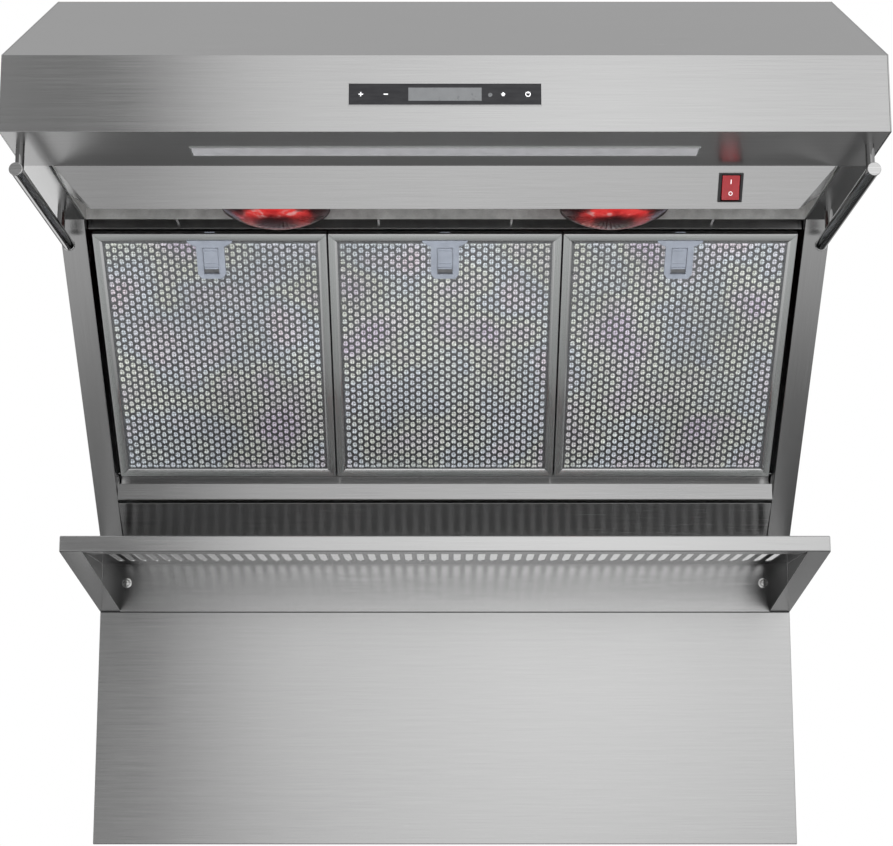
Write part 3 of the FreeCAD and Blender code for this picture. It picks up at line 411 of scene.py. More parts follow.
def add_grain(bm, grain):
    """UVs in metres, with U along the brushing direction on each face."""
    layer = bm.loops.layers.uv.new("grain")
    for face in bm.faces:
        normal = face.normal
        along = grain - normal * grain.dot(normal)
        if along.length < 0.2:
            along = Y_AXIS - normal * Y_AXIS.dot(normal)
        if along.length < 0.2:
            along = X_AXIS - normal * X_AXIS.dot(normal)
        along.normalize()
        across = normal.cross(along)
        for loop in face.loops:
            point = loop.vert.co
            loop[layer].uv = (point.dot(along), point.dot(across))


def is_narrow(face, limit):
    """True for the thin edge faces of a sheet."""
    longest = max(edge.calc_length() for edge in face.edges)
    return face.calc_area() < longest * limit


def soften(bm, edge_radius, fold_radius, convex):
    """Rounds the outside of every fold, the inside by less, and the cut edges a little."""
    bmesh.ops.remove_doubles(bm, verts=bm.verts, dist=1e-6)
    bmesh.ops.dissolve_limit(bm, angle_limit=math.radians(0.6), verts=bm.verts, edges=bm.edges)
    if convex:
        bmesh.ops.connect_verts_concave(bm, faces=[face for face in bm.faces if len(face.verts) > 4])
    sharp = math.radians(28)
    outer, inner, cut = [], [], []
    for edge in bm.edges:
        if len(edge.link_faces) != 2 or edge.calc_face_angle(0.0) < sharp:
            continue
        if any(is_narrow(face, CUT_EDGE) for face in edge.link_faces) or not fold_radius:
            cut.append(edge)
        elif edge.is_convex:
            outer.append(edge)
        else:
            inner.append(edge)
    rounds = ((outer, fold_radius, 4), (inner, fold_radius * 0.4, 2), (cut, edge_radius, 2))
    for edges, radius, segments in rounds:
        edges = [edge for edge in edges if edge.is_valid]
        if edges:
            bmesh.ops.bevel(bm, geom=edges, offset=radius, segments=segments, profile=0.5,
                            affect="EDGES", clamp_overlap=True)
    bm.normal_update()


def refined(node, finish=None, grain=X_AXIS, edge_radius=0.35 * MM, fold_radius=1.5 * MM, under=None,
            inner=None, convex=False):
    """A detailed copy of a CAD node: rounded folds and edges, grain UVs and a finish.

    The faces that look down take the finish under, or the inner sides of the end plates take inner, if given.
    With convex, the faces are split into convex ones first, which keeps the rounding of pierced sheets clean.
    """
    slot = SLOT_OF[node]
    bm = bmesh.new()
    bm.from_mesh(frame["nodes"][node].data)
    soften(bm, edge_radius, fold_radius, convex)
    add_grain(bm, grain)
    facing, plates_from = 0.97, 0.4
    for face in bm.faces:
        if under:
            face.material_index = int(face.normal.z < -facing)
        elif inner:
            middle = face.calc_center_median().x
            inward = abs(face.normal.x) > facing and face.normal.x * middle < 0
            face.material_index = int(inward and abs(middle) > plates_from)
    finishes = [finish or slot] + [second for second in (under, inner) if second]
    return new_piece(node + "_detail", bm, finishes, BODY_OF[node], [node])


def turned(profile, centre, segments=96):
    """A surface of revolution about Z from (radius, height) points."""
    bm = bmesh.new()
    rings = []
    for radius, height in profile:
        if radius < 1e-7:
            rings.append([bm.verts.new(centre + polar(0, 0, height))])
            continue
        rings.append([bm.verts.new(centre + polar(radius, 2 * math.pi * step / segments, height))
                      for step in range(segments)])
    join_rings(bm, rings)
    turn_outward(bm)
    return bm


def join_rings(bm, rings, closed=True):
    """Faces between each ring of vertices and the next; a ring may be a single point."""
    for first, second in zip(rings, rings[1:]):
        count = max(len(first), len(second))
        for step in range(count if closed else count - 1):
            after = (step + 1) % count
            if len(first) == 1:
                bm.faces.new((first[0], second[after], second[step]))
            elif len(second) == 1:
                bm.faces.new((first[step], first[after], second[0]))
            else:
                bm.faces.new((first[step], first[after], second[after], second[step]))


def turn_outward(bm):
    bmesh.ops.recalc_face_normals(bm, faces=bm.faces)


def rectangle(left, near, right, far):
    return [(left, near), (right, near), (right, far), (left, far)]


def polar(radius, angle, level):
    return Vector((radius * math.cos(angle), radius * math.sin(angle), level))


def local_frame(x_axis, y_axis, z_axis, origin):
    """The matrix from a local frame with these axes and this origin to the object's frame."""
    matrix = Matrix((x_axis, y_axis, z_axis)).transposed().to_4x4()
    matrix.translation = origin
    return matrix


def add_block(bm, matrix, low, high, bevel=0.0):
    """A box with bevelled edges in a local frame."""
    verts = bmesh.ops.create_cube(bm, size=1.0)["verts"]
    size = Vector(high) - Vector(low)
    middle = (Vector(high) + Vector(low)) / 2
    for vert in verts:
        vert.co = matrix @ Vector((middle[i] + vert.co[i] * size[i] for i in range(3)))
    if bevel:
        edges = list({edge for vert in verts for edge in vert.link_edges})
        bmesh.ops.bevel(bm, geom=edges, offset=bevel, segments=2, profile=0.5, affect="EDGES")


def rim_strips(left, foot, right, top, width):
    """The four strips of a rectangular rim: foot, top, left and right."""
    return ((left, foot, right, foot + width), (left, top - width, right, top),
            (left, foot + width, left + width, top - width),
            (right - width, foot + width, right, top - width))


def extent(node, matrix):
    """The lowest and highest corners of a CAD node in a local frame."""
    inverse = matrix.inverted()
    points = [inverse @ vert.co for vert in frame["nodes"][node].data.vertices]
    low = Vector([min(p[i] for p in points) for i in range(3)])
    high = Vector([max(p[i] for p in points) for i in range(3)])
    return low, high


# ---- grease filters


def slant_matrix():
    """Local frame of the filters: X across, Y down the slope, Z into the hood."""
    down = Vector(JOINTS["latch_slide_1"]["axis"]).normalized()
    return local_frame(X_AXIS, down, X_AXIS.cross(down), Vector(JOINTS["filter_tilt_2"]["pos_m"]))


HOLE_PITCH_ACROSS = 7.32 * MM
HOLE_PITCH_DOWN = 9.66 * MM
HOLE_RADIUS_ACROSS = 3.05 * MM
HOLE_RADIUS_DOWN = 3.75 * MM
HOLE_SIDES = 12
# The latch's body is narrower than its head bar.
LATCH_BODY_SHARE = 33 / 54
# The plain strip of the face sheet behind the latch starts this far inside the head bar's ends.
LATCH_MARGIN = 12 * MM


def add_hole_cell(bm, matrix, x, y, z):
    """One cell of the perforated sheet: the ring between its hole and its six-sided outline."""
    half_across = HOLE_PITCH_ACROSS / 2
    half_down = HOLE_PITCH_DOWN / 2
    corner = half_across * 0.66
    outline = [
        (half_across + half_across * 0.34, 0), (half_across + half_across * 0.06, half_down * 0.5),
        (corner, half_down), (0, half_down), (-corner, half_down),
        (-half_across - half_across * 0.06, half_down * 0.5),
    ]
    outline += [(-u, -v) for u, v in outline]
    inner, outer = [], []
    for step, (u, v) in enumerate(outline):
        angle = 2 * math.pi * step / HOLE_SIDES
        inner.append(bm.verts.new(matrix @ Vector((x + HOLE_RADIUS_ACROSS * math.cos(angle),
                                                   y + HOLE_RADIUS_DOWN * math.sin(angle), z))))
        outer.append(bm.verts.new(matrix @ Vector((x + u, y + v, z))))
    join_rings(bm, [outer, inner])


def make_filter_face(number, matrix):
    """The perforated face sheet and the layered foil behind it, inside the frame."""
    node = f"filter_mesh_{number}"
    low, high = extent(node, matrix)
    latch_low, latch_high = extent(f"latch_housing_{number}", matrix)
    sheet_z = low.z + 0.3 * MM
    bm = bmesh.new()
    columns = int((high.x - low.x) / HOLE_PITCH_ACROSS)
    rows = int((high.y - low.y) / HOLE_PITCH_DOWN)
    start_x = (low.x + high.x) / 2 - (columns - 1) * HOLE_PITCH_ACROSS / 2
    start_y = (low.y + high.y) / 2 - (rows - 1) * HOLE_PITCH_DOWN / 2
    half_latch = (latch_high.x - latch_low.x) * LATCH_BODY_SHARE / 2 - 1 * MM
    for column in range(columns):
        stagger = HOLE_PITCH_DOWN / 4 * (1 if column % 2 else -1)
        for row in range(rows):
            x = start_x + column * HOLE_PITCH_ACROSS
            y = start_y + row * HOLE_PITCH_DOWN + stagger
            beside_latch = abs(x - (latch_low.x + latch_high.x) / 2) > half_latch
            if beside_latch or y > latch_high.y - 1 * MM:
                add_hole_cell(bm, matrix, x, y, sheet_z)
    bmesh.ops.remove_doubles(bm, verts=bm.verts, dist=0.02 * MM)
    border = 1.5 * MM
    back = sheet_z + 0.05 * MM
    strips = [
        (low.x, low.y, low.x + border, high.y), (high.x - border, low.y, high.x, high.y),
        (low.x, low.y, high.x, low.y + border), (low.x, high.y - border, high.x, high.y),
        (latch_low.x + LATCH_MARGIN, low.y, latch_high.x - LATCH_MARGIN, latch_high.y - 1 * MM),
    ]
    for left, top, right, foot in strips:
        corners = rectangle(left, top, right, foot)
        bm.faces.new([bm.verts.new(matrix @ Vector((x, y, back))) for x, y in corners])
    turn_outward(bm)
    bmesh.ops.solidify(bm, geom=bm.faces[:], thickness=0.5 * MM)
    bm.normal_update()
    new_piece(f"filter_net_{number}", bm, ["mesh_aluminium"], f"filter_{number}", [node])
    make_foil(number, matrix, low, high, latch_low, latch_high, Vector((start_x, start_y, 0)))


def make_foil(number, matrix, low, high, latch_low, latch_high, start):
    """The crumpled foil behind the perforated sheet, with UVs that count the holes from the first one."""
    bm = bmesh.new()
    step = 3.2 * MM
    columns = int((high.x - low.x) / step)
    rows = int((high.y - low.y) / step)
    grid = []
    for row in range(rows + 1):
        line = []
        for column in range(columns + 1):
            x = low.x + (high.x - low.x) * column / columns
            y = low.y + (high.y - low.y) * row / rows
            z = low.z + 2.4 * MM + random.uniform(-0.8, 0.8) * MM
            line.append(bm.verts.new(matrix @ Vector((x, y, z))))
        grid.append(line)
    for row in range(rows):
        for column in range(columns):
            x = low.x + (high.x - low.x) * (column + 0.5) / columns
            y = low.y + (high.y - low.y) * (row + 0.5) / rows
            beside_latch = not latch_low.x + LATCH_MARGIN < x < latch_high.x - LATCH_MARGIN
            if beside_latch or y >= latch_high.y - 1 * MM:
                bm.faces.new((grid[row][column], grid[row][column + 1],
                              grid[row + 1][column + 1], grid[row + 1][column]))
    loose = [vert for vert in bm.verts if not vert.link_faces]
    bmesh.ops.delete(bm, geom=loose, context="VERTS")
    turn_outward(bm)
    bmesh.ops.solidify(bm, geom=bm.faces[:], thickness=0.3 * MM)
    inverse = matrix.inverted()
    layer = bm.loops.layers.uv.new("cells")
    for face in bm.faces:
        for loop in face.loops:
            spot = inverse @ loop.vert.co
            loop[layer].uv = ((spot.x - start.x) / HOLE_PITCH_ACROSS,
                              (spot.y - start.y) / HOLE_PITCH_DOWN + 0.25)
    new_piece(f"filter_foil_{number}", bm, ["foil"], f"filter_{number}", sharp_angle=80)


def make_filter_frame(number, matrix):
    """Four mitred channel bars with rounded fronts; each profile point is (across the bar, into the hood)."""
    node = f"filter_frame_{number}"
    low, high = extent(node, matrix)
    depth = high.z - low.z
    width = 11 * MM
    profile = [
        (0, depth), (0, 1.1 * MM), (0.3 * MM, 0.35 * MM), (1.0 * MM, 0.0), (7.8 * MM, 0.1 * MM),
        (10.7 * MM, 1.1 * MM), (width, 1.4 * MM), (width, 2.6 * MM), (10.1 * MM, 2.6 * MM),
        (10.1 * MM, 1.5 * MM), (1.0 * MM, 1.3 * MM), (1.0 * MM, depth - 1.0 * MM),
        (width, depth - 1.0 * MM), (width, depth),
    ]
    # The rounded sides take the brighter aluminium as a painted highlight; the faces at both ends of the
    # profile take the dark steel as painted shade.
    painted_highlight_sides = (1, 2, 4, 5)
    gap = 0.18 * MM
    across = high.x - low.x
    along = high.y - low.y
    bars = [(low.x, low.y, X_AXIS, across), (high.x, low.y, Y_AXIS, along),
            (high.x, high.y, -X_AXIS, across), (low.x, high.y, -Y_AXIS, along)]
    bm = bmesh.new()
    for x, y, run, length in bars:
        origin = Vector((x, y, low.z))
        inward = Z_AXIS.cross(run)
        ends = []
        for at_end in (False, True):
            ring = []
            for across_bar, into in profile:
                travel = length - across_bar - gap if at_end else across_bar + gap
                point = origin + run * travel + inward * across_bar + Vector((0, 0, into))
                ring.append(bm.verts.new(matrix @ point))
            ends.append(ring)
        count = len(profile)
        for index in range(count):
            after = (index + 1) % count
            side = bm.faces.new((ends[0][index], ends[0][after], ends[1][after], ends[1][index]))
            side.material_index = 2 if index in (0, count - 1) else int(index in painted_highlight_sides)
        bm.faces.new(ends[0][::-1])
        bm.faces.new(ends[1])
    turn_outward(bm)
    down = (matrix.to_3x3() @ Y_AXIS).normalized()
    layer = bm.loops.layers.uv.new("grain")
    for face in bm.faces:
        longest = max(face.edges, key=lambda edge: edge.calc_length())
        direction = (longest.verts[1].co - longest.verts[0].co).normalized()
        along_dir = X_AXIS if abs(direction.dot(X_AXIS)) > abs(direction.dot(down)) else down
        side = face.normal.cross(along_dir)
        for loop in face.loops:
            loop[layer].uv = (loop.vert.co.dot(along_dir), loop.vert.co.dot(side))
    new_piece(f"filter_bars_{number}", bm, ["filter_aluminium", "aluminium_painted_highlight", "mill_steel"],
              f"filter_{number}", [node], sharp_angle=50)


def add_prism(bm, matrix, outline, near, far, bevel=0.0):
    """A closed outline in a local frame, extruded from near to far, with its front edges bevelled."""
    front = [bm.verts.new(matrix @ Vector((x, y, near))) for x, y in outline]
    back = [bm.verts.new(matrix @ Vector((x, y, far))) for x, y in outline]
    count = len(outline)
    faces = [bm.faces.new(front), bm.faces.new(back[::-1])]
    for index in range(count):
        after = (index + 1) % count
        faces.append(bm.faces.new((front[index], back[index], back[after], front[after])))
    if bevel:
        bmesh.ops.bevel(bm, geom=list(faces[0].edges), offset=bevel, segments=2, profile=0.5, affect="EDGES")


def make_latch(number, matrix):
    """The latch housing with its tapered head bar and cut corners, and the ribbed slider in its window."""
    low, high = extent(f"latch_housing_{number}", matrix)
    slide_low, slide_high = extent(f"filter_latch_{number}", matrix)
    middle = (low.x + high.x) / 2
    half = (high.x - low.x) * LATCH_BODY_SHARE / 2
    window = (slide_high.x - slide_low.x) / 2 + 0.3 * MM
    head = low.y + 3 * MM
    window_head = head + 6 * MM
    window_foot = window_head + 33 * MM
    corner = 6 * MM
    face = low.z + 0.4 * MM
    bm = bmesh.new()
    left, right = middle - half, middle + half
    back = high.z - 1.5 * MM
    rim = 0.9 * MM
    head_bar = [(low.x, low.y), (high.x, low.y), (high.x - 1 * MM, low.y + 2.5 * MM),
                (right + 2 * MM, low.y + 7 * MM), (left - 2 * MM, low.y + 7 * MM),
                (low.x + 1 * MM, low.y + 2.5 * MM)]
    cut_foot = [(right, high.y - corner), (right - corner * 0.7, high.y),
                (left + corner * 0.7, high.y), (left, high.y - corner)]
    add_prism(bm, matrix, head_bar, low.z, low.z + 1.6 * MM, 0.4 * MM)
    add_prism(bm, matrix, [(left, head), (right, head)] + cut_foot, back, high.z)
    add_prism(bm, matrix, rectangle(left, head, right, window_head), face, back)
    add_prism(bm, matrix, [(left, window_foot), (right, window_foot)] + cut_foot, face, back)
    for side in (-1, 1):
        edge = middle + side * window
        add_prism(bm, matrix, rectangle(middle + side * half, window_head, edge, window_foot), face, back)
        lip = rectangle(edge, window_head, edge + side * rim, window_foot + rim)
        add_prism(bm, matrix, lip, low.z, face, 0.2 * MM)
    lip = rectangle(middle - window, window_foot, middle + window, window_foot + rim)
    add_prism(bm, matrix, lip, low.z, face, 0.2 * MM)
    turn_outward(bm)
    new_piece(f"latch_case_{number}", bm, ["latch_plastic"], f"filter_{number}",
              [f"latch_housing_{number}"])

    bm = bmesh.new()
    plate_foot = window_head + 27 * MM
    plate = face + 0.9 * MM
    add_block(bm, matrix, (slide_low.x, window_head + 1 * MM, plate),
              (slide_high.x, plate_foot, high.z - 2.1 * MM), 0.3 * MM)
    for offset in (4, 20):
        add_block(bm, matrix, (slide_low.x + 1.5 * MM, window_head + offset * MM, plate - 0.7 * MM),
                  (slide_high.x - 1.5 * MM, window_head + (offset + 1.2) * MM, plate + 0.2 * MM), 0.25 * MM)
    add_block(bm, matrix, (slide_low.x + 0.4 * MM, plate_foot - 2.4 * MM, plate - 1.2 * MM),
              (slide_high.x - 0.4 * MM, plate_foot - 0.3 * MM, plate + 0.2 * MM), 0.4 * MM)
    tongue = 6 * MM
    add_block(bm, matrix, (middle - tongue, slide_low.y, slide_high.z - 2 * MM),
              (middle + tongue, slide_low.y + 19 * MM, slide_high.z), 0.2 * MM)
    turn_outward(bm)
    new_piece(f"latch_slider_{number}", bm, ["latch_plastic"], f"latch_{number}",
              [f"filter_latch_{number}"])


def make_filters():
    matrix = slant_matrix()
    for number in (1, 2, 3):
        make_filter_frame(number, matrix)
        make_filter_face(number, matrix)
        make_latch(number, matrix)


# ---- lamps, rocker, controls, light bar


def make_lamps():
    """Reflector lamps: a domed ruby lens, a rolled rim and a tapering neck."""
    for side in ("left", "right"):
        node = f"heat_lamp_{side}"
        low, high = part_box(node)
        centre = (low + high) / 2
        spot = Vector((centre.x, centre.y, low.z))
        radius = (high.x - low.x) / 2
        height = high.z - low.z
        dome = 116 * MM
        crown = 5.2 * MM
        profile = []
        for step in range(25):
            angle = math.radians(31) * step / 24
            profile.append((min(radius - 0.6 * MM, dome * math.sin(angle)),
                            crown + dome * (1 - math.cos(angle))))
        profile += [(radius - 0.2 * MM, 23.5 * MM), (radius - 0.05 * MM, 25.5 * MM),
                    (radius - 0.6 * MM, 28.5 * MM), (radius - 3.5 * MM, 36 * MM)]
        for step in range(1, 13):
            travel = step / 12
            neck = 20 * MM + (radius - 24 * MM) * (1 - travel) ** 1.35
            profile.append((neck, 36 * MM + travel * (height - 46 * MM)))
        profile += [(14 * MM, height - 0.5 * MM), (0, height - 0.2 * MM)]
        bm = turned(profile, spot)
        new_piece(node + "_bulb", bm, ["lamp_glass"], "root", [node], sharp_angle=60)


def make_rocker():
    """Rocker switch with its bezel and the on and off marks on the rocker."""
    refined("rocker_bezel", edge_radius=0.5 * MM, fold_radius=0)
    rocker = refined("rocker_button", edge_radius=0.6 * MM, fold_radius=0)
    faces = sorted(rocker.data.polygons, key=lambda face: -face.area)
    fronts = [face for face in faces if face.normal.y < -0.5 and face.normal.z < -0.1][:2]
    fronts.sort(key=lambda face: -face.center.z)
    bm = bmesh.new()
    for face, mark in zip(fronts, ("line", "ring")):
        normal = face.normal.copy()
        down = normal.cross(X_AXIS).normalized()
        if down.z > 0:
            down = -down
        matrix = local_frame(X_AXIS, down, normal, face.center + normal * 0.02 * MM)
        if mark == "line":
            add_block(bm, matrix, (-0.45 * MM, -2.4 * MM, 0), (0.45 * MM, 2.4 * MM, 0.08 * MM))
        else:
            add_ring(bm, matrix, 2.2 * MM, 1.45 * MM, 0.08 * MM)
    new_piece("rocker_marks", bm, ["mark_white_painted_glow"], BODY_OF["rocker_button"])


def add_ring(bm, matrix, outer, inner, height, start=0.0, end=360.0, steps=40):
    """A flat ring, or part of one, in a local frame."""
    closed = end - start >= 360.0
    count = steps if closed else steps + 1
    loops = []
    for radius, level in ((outer, 0), (outer, height), (inner, height), (inner, 0)):
        ring = []
        for step in range(count):
            angle = math.radians(start + (end - start) * step / steps)
            ring.append(bm.verts.new(matrix @ polar(radius, angle, level)))
        loops.append(ring)
    join_rings(bm, loops + loops[:1], closed)
    if not closed:
        bm.faces.new([ring[0] for ring in loops])
        bm.faces.new([ring[-1] for ring in loops][::-1])


def make_controls():
    """The black control glass and its marks: plus, minus, display, sensor, light and power."""
    low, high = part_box("control_glass")
    glass_front = low.y + 0.14 * MM
    bm = bmesh.new()
    rim = 0.7 * MM
    add_block(bm, FLAT, (low.x + rim, glass_front, low.z + rim),
              (high.x - rim, high.y, high.z - rim), 0.15 * MM)
    new_piece("control_glass_plate", bm, ["black_glass"], "root", ["control_glass"])

    bm = bmesh.new()
    for left, foot, right, top in rim_strips(low.x, low.z, high.x, high.z, rim):
        add_block(bm, FLAT, (left, low.y + 0.05 * MM, foot), (right, high.y, top), 0.1 * MM)
    add_grain(bm, X_AXIS)
    new_piece("control_rim", bm, ["cap_steel"], "root")

    middle = (low + high) / 2
    width = high.x - low.x

    def at(share, lift=0.0):
        """The frame of a mark, from its share of the glass's width."""
        spot = Vector((middle.x + share * width, glass_front, middle.z + lift))
        return local_frame(X_AXIS, Z_AXIS, -Y_AXIS, spot)

    thick = 0.1 * MM
    bm = bmesh.new()
    plus, minus, sensor, light, power = -0.434, -0.305, 0.233, 0.300, 0.428
    strokes = ((plus, 2.3, -0.5, 0.5), (plus, 0.5, -2.3, 2.3), (minus, 2.2, -0.5, 0.5),
               (light, 1.3, -2.0, -0.3), (power, 0.4, 0.6, 3.0))
    for share, half, foot, top in strokes:
        add_block(bm, at(share), (-half * MM, foot * MM, 0), (half * MM, top * MM, thick))
    bm.faces.new([bm.verts.new(at(light) @ Vector(point)) for point in
                  ((-2.4 * MM, -0.3 * MM, thick), (2.4 * MM, -0.3 * MM, thick), (0, 2.3 * MM, thick))])
    add_ring(bm, at(power), 2.7 * MM, 1.9 * MM, thick, 115, 425)
    turn_outward(bm)
    new_piece("control_marks", bm, ["mark_white_painted_glow"], "root")

    display_low, display_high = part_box("display_module")
    bm = bmesh.new()
    half = (display_high.x - display_low.x) / 2
    add_block(bm, at(0.0), (-half, -7.0 * MM, 0), (half, 7.0 * MM, thick * 0.6), 0.03 * MM)
    add_ring(bm, at(sensor, -0.6 * MM), 2.2 * MM, 0.05 * MM, thick * 0.6)
    new_piece("display_window", bm, ["display_grey"], "root")


def make_light_bar():
    """The light bar: a thin metal bezel round a ribbed frosted lens."""
    low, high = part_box("light_diffuser")
    rim = 1.6 * MM
    bm = bmesh.new()
    for left, near, right, far in rim_strips(low.x, low.y, high.x, high.y, rim):
        add_block(bm, FLAT, (left, near, low.z), (right, far, high.z), 0.25 * MM)
    add_grain(bm, X_AXIS)
    new_piece("light_bezel", bm, ["filter_aluminium"], "root")

    bm = bmesh.new()
    ribs = 10
    inner_low = low.y + rim + 0.1 * MM
    inner_high = high.y - rim - 0.1 * MM
    left, right = [], []
    for step in range(ribs * 4 + 1):
        share = step / (ribs * 4)
        ripple = 0.12 * MM * abs(math.sin(share * ribs * math.pi))
        y = inner_low + (inner_high - inner_low) * share
        z = low.z + 0.35 * MM - ripple
        left.append(bm.verts.new((low.x + rim + 0.1 * MM, y, z)))
        right.append(bm.verts.new((high.x - rim - 0.1 * MM, y, z)))
    for step in range(ribs * 4):
        bm.faces.new((left[step], right[step], right[step + 1], left[step + 1]))
    turn_outward(bm)
    bmesh.ops.solidify(bm, geom=bm.faces[:], thickness=-0.3 * MM)
    new_piece("light_lens", bm, ["diffuser_white"], "root", ["light_diffuser"])


# ---- sheet metal and hardware


def make_sheet_metal():
    """The folded panels, each a refined copy of its CAD node, with the clips and the painted shadow line at
    the shelf's joint.
    """
    refined("canopy_shell", under="underside")
    for side in ("left", "right"):
        refined(f"{side}_side_panel", grain=Y_AXIS, convex=True)
    refined("lamp_baffle", finish="stainless", edge_radius=0.4 * MM)
    refined("lip_gussets", edge_radius=0.25 * MM, fold_radius=0)
    # The lower panel and the gutter take the darker steel, painted shade.
    refined("lower_panel", finish="gutter_steel")
    refined("grease_gutter", finish="gutter_steel", convex=True)
    # The inner sides of the shelf's end plates take the dark steel, painted shade.
    refined("warming_shelf", edge_radius=0.3 * MM, inner="mill_steel", convex=True)
    refined("backsplash", edge_radius=0.4 * MM, fold_radius=1.2 * MM, convex=True)
    refined("filter_rail", finish="stainless")
    refined("lamp_pan", finish="recess")
    make_clips()
    make_seam_shadow()


def make_seam_shadow():
    """A thin black strip where the shelf's back plate meets the backsplash: painted shadow of the seam
    between them.
    """
    low, _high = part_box("warming_shelf")
    wall, _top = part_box("backsplash")
    edge = 1.2 * MM
    bm = bmesh.new()
    add_block(bm, FLAT, (low.x + edge, wall.y - 0.5 * MM, low.z - 1.5 * MM),
              (-low.x - edge, wall.y + 0.05 * MM, low.z - 0.05 * MM), 0.1 * MM)
    add_grain(bm, X_AXIS)
    new_piece("shelf_joint_painted_shadow", bm, ["black_plastic"], "root")


def make_clips():
    """Four thin spring clips on the edge of the rail above the filters, two of them near the middle."""
    low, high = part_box("filter_clips")
    reach = (high.x - low.x) / 2 - 4 * MM
    bm = bmesh.new()
    near_middle = 78 / 314
    for share in (-1, -near_middle, near_middle, 1):
        middle = reach * share
        add_block(bm, FLAT, (middle - 1.3 * MM, low.y, low.z),
                  (middle + 1.3 * MM, high.y, high.z), 0.25 * MM)
    add_grain(bm, Z_AXIS)
    new_piece("clip_strips", bm, ["cap_steel"], "root", ["filter_clips"])


def make_rails():
    """The round hanging rails of the shelf and the caps on their ends."""
    for side in ("left", "right"):
        refined(f"{side}_rail", edge_radius=0.2 * MM, fold_radius=0)
    refined("rail_caps", finish="cap_steel", edge_radius=0.9 * MM, fold_radius=0)


def make_shelf_screws():
    """Domed screw heads with a cross recess and a pressed washer."""
    low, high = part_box("shelf_screws")
    radius = (high.z - low.z) / 2
    level = (high.z + low.z) / 2
    bm = bmesh.new()
    height = 3.1 * MM
    for x in (low.x + radius, high.x - radius):
        matrix = local_frame(X_AXIS, Z_AXIS, -Y_AXIS, Vector((x, low.y + 3.2 * MM, level)))
        profile = [(radius, 0.0), (radius, 0.5 * MM), (radius * 0.94, 0.8 * MM), (radius * 0.72, 0.9 * MM)]
        for step in range(9):
            angle = math.radians(90) * step / 8
            profile.append((radius * 0.70 * math.cos(angle),
                            1.0 * MM + (height - 1.0 * MM) * math.sin(angle)))
        rings = []
        for ring_radius, lift in profile:
            ring = []
            for step in range(32):
                angle = 2 * math.pi * step / 32
                in_cross = step % 8 == 0 and ring_radius < radius * 0.5
                point = polar(ring_radius, angle, lift - (0.9 * MM if in_cross else 0.0))
                ring.append(bm.verts.new(matrix @ point))
            rings.append(ring)
        join_rings(bm, rings)
    bmesh.ops.remove_doubles(bm, verts=bm.verts, dist=0.01 * MM)
    turn_outward(bm)
    new_piece("shelf_screw_heads", bm, ["screw_steel"], "root", ["shelf_screws"],
              sharp_angle=40)


def finish_cad_nodes():
    """Gives every CAD node that stays visible the finish of its slot."""
    for name, node in frame["nodes"].items():
        node.data.materials.clear()
        node.data.materials.append(FINISH[SLOT_OF[name]])


# ---- stage, light and camera


FLOOR_REACH = 9.0
FLOOR_DROP = 0.40
# Painted reflection of the floor, which only the steel sees: glow levels at (metres, level) from front to
# back and from left to right; the dark stops under the hood are painted shadow.
PAINTED_FLOOR_FORE = [(-2.5, 0.85), (-1.5, 0.88), (-1.1, 0.66), (-0.8, 0.50), (-0.55, 0.22), (-0.3, 0.10),
              (0.0, 0.05), (0.7, 0.10), (1.05, 0.50), (1.4, 0.50), (2.0, 0.07)]
PAINTED_FLOOR_SIDES = [(-1.2, 0.55), (-0.8, 0.60), (-0.64, 0.50), (-0.40, 0.92), (0.0, 1.0), (0.4, 0.97),
               (1.2, 0.80)]
# Two painted bright patches in that reflection, each (left to right, front to back): far behind on the left,
# and near on the left.
PAINTED_FLOOR_PATCHES = [
    ([(-1.4, 1.2), (-1.16, 1.2), (-1.04, 0.75), (-0.94, 0.15), (-0.86, 0.0)], [(1.0, 0.0), (1.8, 1.0)]),
    ([(-1.3, 0.26), (-0.66, 0.26), (-0.58, 0.0)],
     [(-1.3, 0.0), (-1.1, 0.0), (-0.95, 1.0), (-0.3, 0.8), (0.0, 0.0)]),
]
# The tent that the steel mirrors: levels over the X, Y and Z of the mirrored direction.
TENT_ACROSS = [(-0.5, 0.27), (-0.26, 0.27), (-0.22, 0.12), (-0.17, 0.07), (-0.148, 0.72), (-0.12, 0.78),
               (-0.09, 0.93), (-0.06, 0.84), (0.0, 0.93), (0.08, 1.05), (0.16, 0.98), (0.21, 0.86),
               (0.30, 0.90), (0.5, 0.75)]
TENT_DEPTH = [(-1.0, 1.0), (-0.30, 0.9), (0.20, 0.70), (1.0, 0.60)]
TENT_HEIGHT = [(-1.0, 0.60), (-0.20, 0.90), (0.0, 1.10), (0.14, 1.22), (0.4, 1.14), (1.0, 0.8)]
TENT_ROOF = (0.52, 0.52, 0.52, 1.0)


def make_stage():
    """A wide pale floor under the hood, with a painted glow that grows with distance, so that it fades into
    the white surroundings.
    """
    low, _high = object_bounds()
    bm = bmesh.new()
    level = low.z - FLOOR_DROP
    corners = rectangle(-FLOOR_REACH, -FLOOR_REACH, FLOOR_REACH, FLOOR_REACH)
    bm.faces.new([bm.verts.new((x, y, level)) for x, y in corners])
    mesh = bpy.data.meshes.new("floor_mesh")
    bm.to_mesh(mesh)
    bm.free()
    floor = bpy.data.objects.new("floor", mesh)
    bpy.context.scene.collection.objects.link(floor)
    s = Shader("floor_pale")
    tone = s.noise(s.coordinates(), scale=2.0, detail=3.0)
    distance = s.node("ShaderNodeVectorMath", operation="LENGTH")
    s.link(s.coordinates(), distance.inputs[0])
    s.drive(Base_Color=s.ramp(tone, [(0.3, grey(0.90)), (0.7, grey(0.93))]),
            Emission_Strength=s.rescale(distance.outputs["Value"], 2.0, 6.5, 0.15, 0.9))
    s.set(Roughness=0.8, Emission_Color=(1.0, 1.0, 1.0, 1.0))
    paint_floor_reflection(s)
    mesh.materials.append(s.material)


